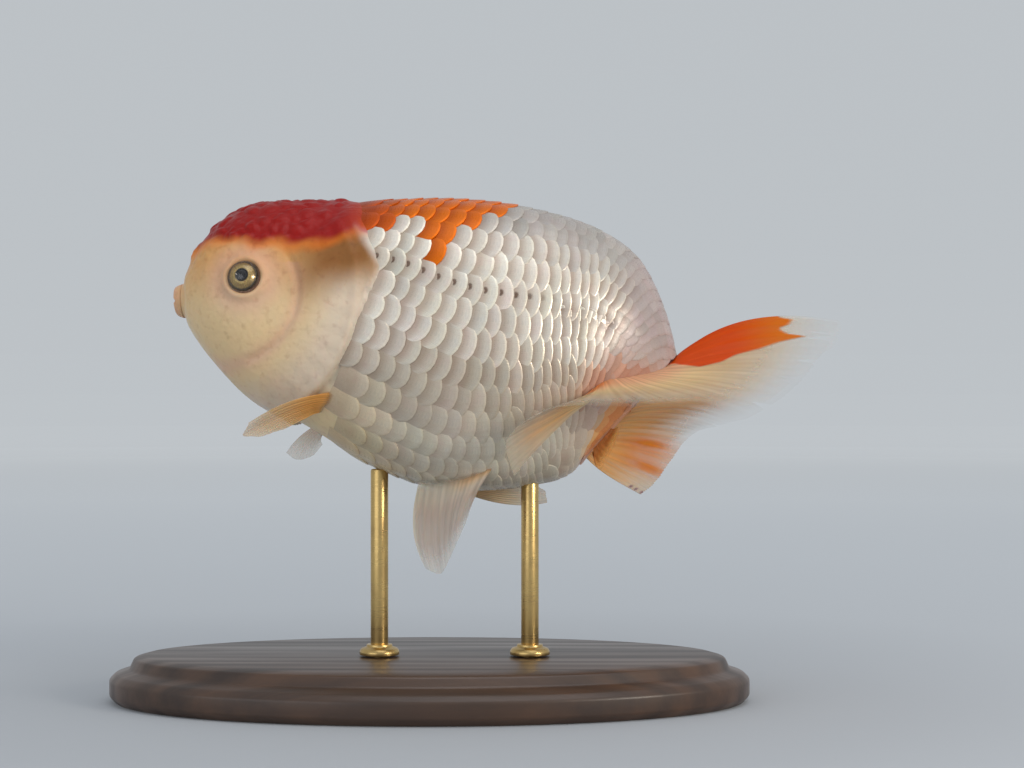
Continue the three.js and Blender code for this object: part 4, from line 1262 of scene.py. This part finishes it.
bpy.ops.object.select_all(action="DESELECT")
bpy.ops.mesh.primitive_circle_add(vertices=192, radius=1.0, fill_type="NGON")
base = bpy.context.active_object
base.name = "oval_base"
bpy.ops.object.mode_set(mode="EDIT")
first_inset = BASE_STEPS[0][0]
bpy.ops.transform.resize(value=((BASE_HALF_WIDTH - first_inset) * MM,
                                (BASE_HALF_LENGTH - first_inset) * MM, 1))
for (inset, height), (next_inset, next_height) in zip(BASE_STEPS, BASE_STEPS[1:]):
    rise = (next_height - height) * MM
    bpy.ops.mesh.extrude_region_move(TRANSFORM_OT_translate={"value": (0, 0, rise)})
    bpy.ops.transform.resize(value=((BASE_HALF_WIDTH - next_inset) / (BASE_HALF_WIDTH - inset),
                                    (BASE_HALF_LENGTH - next_inset) / (BASE_HALF_LENGTH - inset), 1))
bpy.ops.object.mode_set(mode="OBJECT")
outward(base)
ease_edges(base, 0.35, 3, 20)
bpy.ops.object.shade_smooth_by_angle(angle=math.radians(30))
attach(base, "root")
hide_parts("stand_base")

wood_look, tree, shader = new_material("oiled walnut", Coat_Weight=0.25, Coat_Roughness=0.25)
place = object_place(tree)
stretched = add_node(tree, "Mapping", i0=place, i3=(260.0, 14.0, 120.0)).outputs[0]
fibres = add_node(tree, "TexNoise", Vector=stretched, Scale=1.0, Detail=5.0, Roughness=0.6)
figure = fibres.outputs["Fac"]
waved = add_node(tree, "Mapping", i0=place, i3=(1.0, 0.16, 1.0)).outputs[0]
bands = add_node(tree, "TexWave", {"wave_type": "RINGS", "rings_direction": "Y"},
                 Vector=waved, Scale=70.0, Distortion=5.0, Detail=2.0).outputs["Fac"]
grain = add_math(tree, "ADD", add_math(tree, "MULTIPLY", figure, 0.86),
                 add_math(tree, "MULTIPLY", bands, 0.14))
brown = add_ramp(tree, grain, [(0.30, (0.030, 0.015, 0.009)), (0.74, (0.100, 0.048, 0.024))])
tree.links.new(brown, shader["Base Color"])
tree.links.new(add_range(tree, grain, 0.3, 0.7, 0.50, 0.34), shader["Roughness"])
tree.links.new(add_bump(tree, figure, 0.2, 0.0002), shader["Normal"])
base.data.materials.append(wood_look)

# Brass with the fine rings of the lathe, a little dulled in patches.
brass_look, tree, shader = new_material("satin brass", Metallic=1.0)
place = object_place(tree)
turned = add_node(tree, "Mapping", i0=place, i3=(150.0, 150.0, 2600.0)).outputs[0]
brushed = add_noise(tree, turned, 1.0, 3.0)
dull = add_range(tree, add_noise(tree, place, 220.0), 0.45, 0.75, 0.0, 0.5)
tree.links.new(add_mix(tree, (0.62, 0.43, 0.17, 1), (0.40, 0.26, 0.11, 1), dull), shader["Base Color"])
tree.links.new(add_range(tree, brushed, 0.3, 0.7, 0.26, 0.36), shader["Roughness"])
tree.links.new(add_bump(tree, brushed, 0.04, 0.00005), shader["Normal"])

for word, rod_y in zip(("front", "rear"), ROD_Y):
    bpy.ops.object.select_all(action="DESELECT")
    bpy.ops.mesh.primitive_cylinder_add(
        vertices=64, radius=ROD_RADIUS * MM, depth=(ROD_HEAD - ROD_FOOT) * MM,
        location=(ROD_X * MM, rod_y * MM, (ROD_HEAD + ROD_FOOT) / 2 * MM))
    rod = bpy.context.active_object
    rod.name = "rod_" + word
    bpy.ops.object.transform_apply(location=True, rotation=True, scale=True)
    ease_edges(rod, 0.3, 2)
    bpy.ops.object.shade_smooth_by_angle(angle=math.radians(35))
    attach(rod, "root")
    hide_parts("stand_rod_" + word)
    rod.data.materials.append(brass_look)

    bpy.ops.object.select_all(action="DESELECT")
    foot_radius, foot_height = COLLAR_PROFILE[0]
    bpy.ops.mesh.primitive_circle_add(vertices=64, radius=foot_radius * MM, fill_type="NGON",
                                      location=(ROD_X * MM, rod_y * MM, foot_height * MM))
    collar = bpy.context.active_object
    collar.name = "collar_" + word
    bpy.ops.object.mode_set(mode="EDIT")
    for (radius, height), (next_radius, next_height) in zip(COLLAR_PROFILE, COLLAR_PROFILE[1:]):
        rise = (next_height - height) * MM
        bpy.ops.mesh.extrude_region_move(TRANSFORM_OT_translate={"value": (0, 0, rise)})
        bpy.ops.transform.resize(value=(next_radius / radius, next_radius / radius, 1))
    bpy.ops.object.mode_set(mode="OBJECT")
    bpy.ops.object.transform_apply(location=True, rotation=True, scale=True)
    outward(collar)
    ease_edges(collar, 0.12, 2)
    bpy.ops.object.shade_smooth_by_angle(angle=math.radians(35))
    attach(collar, "root")
    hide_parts("stand_collar_" + word)
    collar.data.materials.append(brass_look)

# ---- Camera, floor and light --------------------------------------------------------------------
# A pale studio: a level camera square to the fish's left side, a floor that curves up behind it,
# one warm soft box from beyond the tail, a broad top light and a weak fill.
CAMERA_PLACE = (0.380, 0.01414, 0.0545)
bpy.ops.object.select_all(action="DESELECT")
bpy.ops.object.camera_add(location=CAMERA_PLACE, rotation=(math.pi / 2, 0, math.pi / 2))
camera = bpy.context.active_object
camera.data.sensor_width, camera.data.lens = 36.0, 77.5
camera.data.clip_start = 0.01
bpy.context.scene.camera = camera

FLOOR_RADIUS, COVE_RADIUS, COVE_STEPS, WALL_HEIGHT = 1.3, 0.6, 12, 1.2
BACKDROP = np.array([0.444, 0.471, 0.489])
# The floor's own faint light, which evens out the backdrop: its share at each radius.
BACKDROP_GLOW = [(0.0, 0.06), (0.08, 0.10), (0.16, 0.25), (0.33, 0.40), (0.68, 0.66), (1.4, 1.0)]
bpy.ops.object.select_all(action="DESELECT")
bpy.ops.mesh.primitive_circle_add(vertices=96, radius=FLOOR_RADIUS, fill_type="NGON")
floor = bpy.context.active_object
floor.name = "floor"
bpy.ops.object.mode_set(mode="EDIT")
bpy.ops.mesh.select_mode(type="EDGE")
radius = FLOOR_RADIUS
for k in range(1, COVE_STEPS + 1):
    turn, last_turn = (n / COVE_STEPS * math.pi / 2 for n in (k, k - 1))
    next_radius = FLOOR_RADIUS + COVE_RADIUS * math.sin(turn)
    rise = COVE_RADIUS * (math.cos(last_turn) - math.cos(turn))
    bpy.ops.mesh.extrude_region_move(TRANSFORM_OT_translate={"value": (0, 0, rise)})
    bpy.ops.transform.resize(value=(next_radius / radius, next_radius / radius, 1))
    radius = next_radius
bpy.ops.mesh.extrude_region_move(TRANSFORM_OT_translate={"value": (0, 0, WALL_HEIGHT)})
bpy.ops.object.mode_set(mode="OBJECT")
stage_look, tree, shader = new_material("stage", Roughness=0.9)
split = add_node(tree, "SeparateXYZ", Vector=object_place(tree)).outputs
squares = [add_math(tree, "MULTIPLY", part, part) for part in split[:2]]
out_from_middle = add_math(tree, "SQRT", add_math(tree, "ADD", *squares))
darkening = add_range(tree, out_from_middle, 0.15, 1.4, 0.0, 1.0)
floor_colour = add_mix(tree, (0.40, 0.42, 0.45, 1), (0.10, 0.10, 0.11, 1), darkening)
tree.links.new(floor_colour, shader["Base Color"])
glow_reach = BACKDROP_GLOW[-1][0]
glow = add_ramp(tree, add_math(tree, "DIVIDE", out_from_middle, glow_reach),
                [(radius / glow_reach, BACKDROP * share) for radius, share in BACKDROP_GLOW])
tree.links.new(glow, shader["Emission Color"])
shader["Emission Strength"].default_value = 1.0
floor.data.materials.append(stage_look)


AIM = Vector((0, 0, 0.06))


def soft_box(name, place, size, power, colour):
    """A round soft light that looks at the fish."""
    data = bpy.data.lights.new(name, "AREA")
    data.shape, data.size, data.energy, data.color = "DISK", size, power, colour
    lamp = bpy.data.objects.new(name, data)
    lamp.location = place
    lamp.rotation_euler = (AIM - Vector(place)).to_track_quat("-Z", "Y").to_euler()
    bpy.context.collection.objects.link(lamp)


soft_box("key", (0.32, 0.42, 0.185), 0.16, 1.05, (1.0, 0.92, 0.80))
soft_box("top", (0.15, 0.10, 0.60), 0.50, 0.95, (0.97, 0.98, 1.0))
soft_box("fill", (0.45, -0.35, 0.12), 0.50, 0.62, (0.93, 0.96, 1.0))
world = bpy.data.worlds.new("studio")
world.use_nodes = True
world.node_tree.nodes["Background"].inputs["Color"].default_value = (0.75, 0.80, 0.88, 1)
world.node_tree.nodes["Background"].inputs["Strength"].default_value = 0.30
bpy.context.scene.world = world
bpy.context.scene.view_settings.view_transform = "Standard"
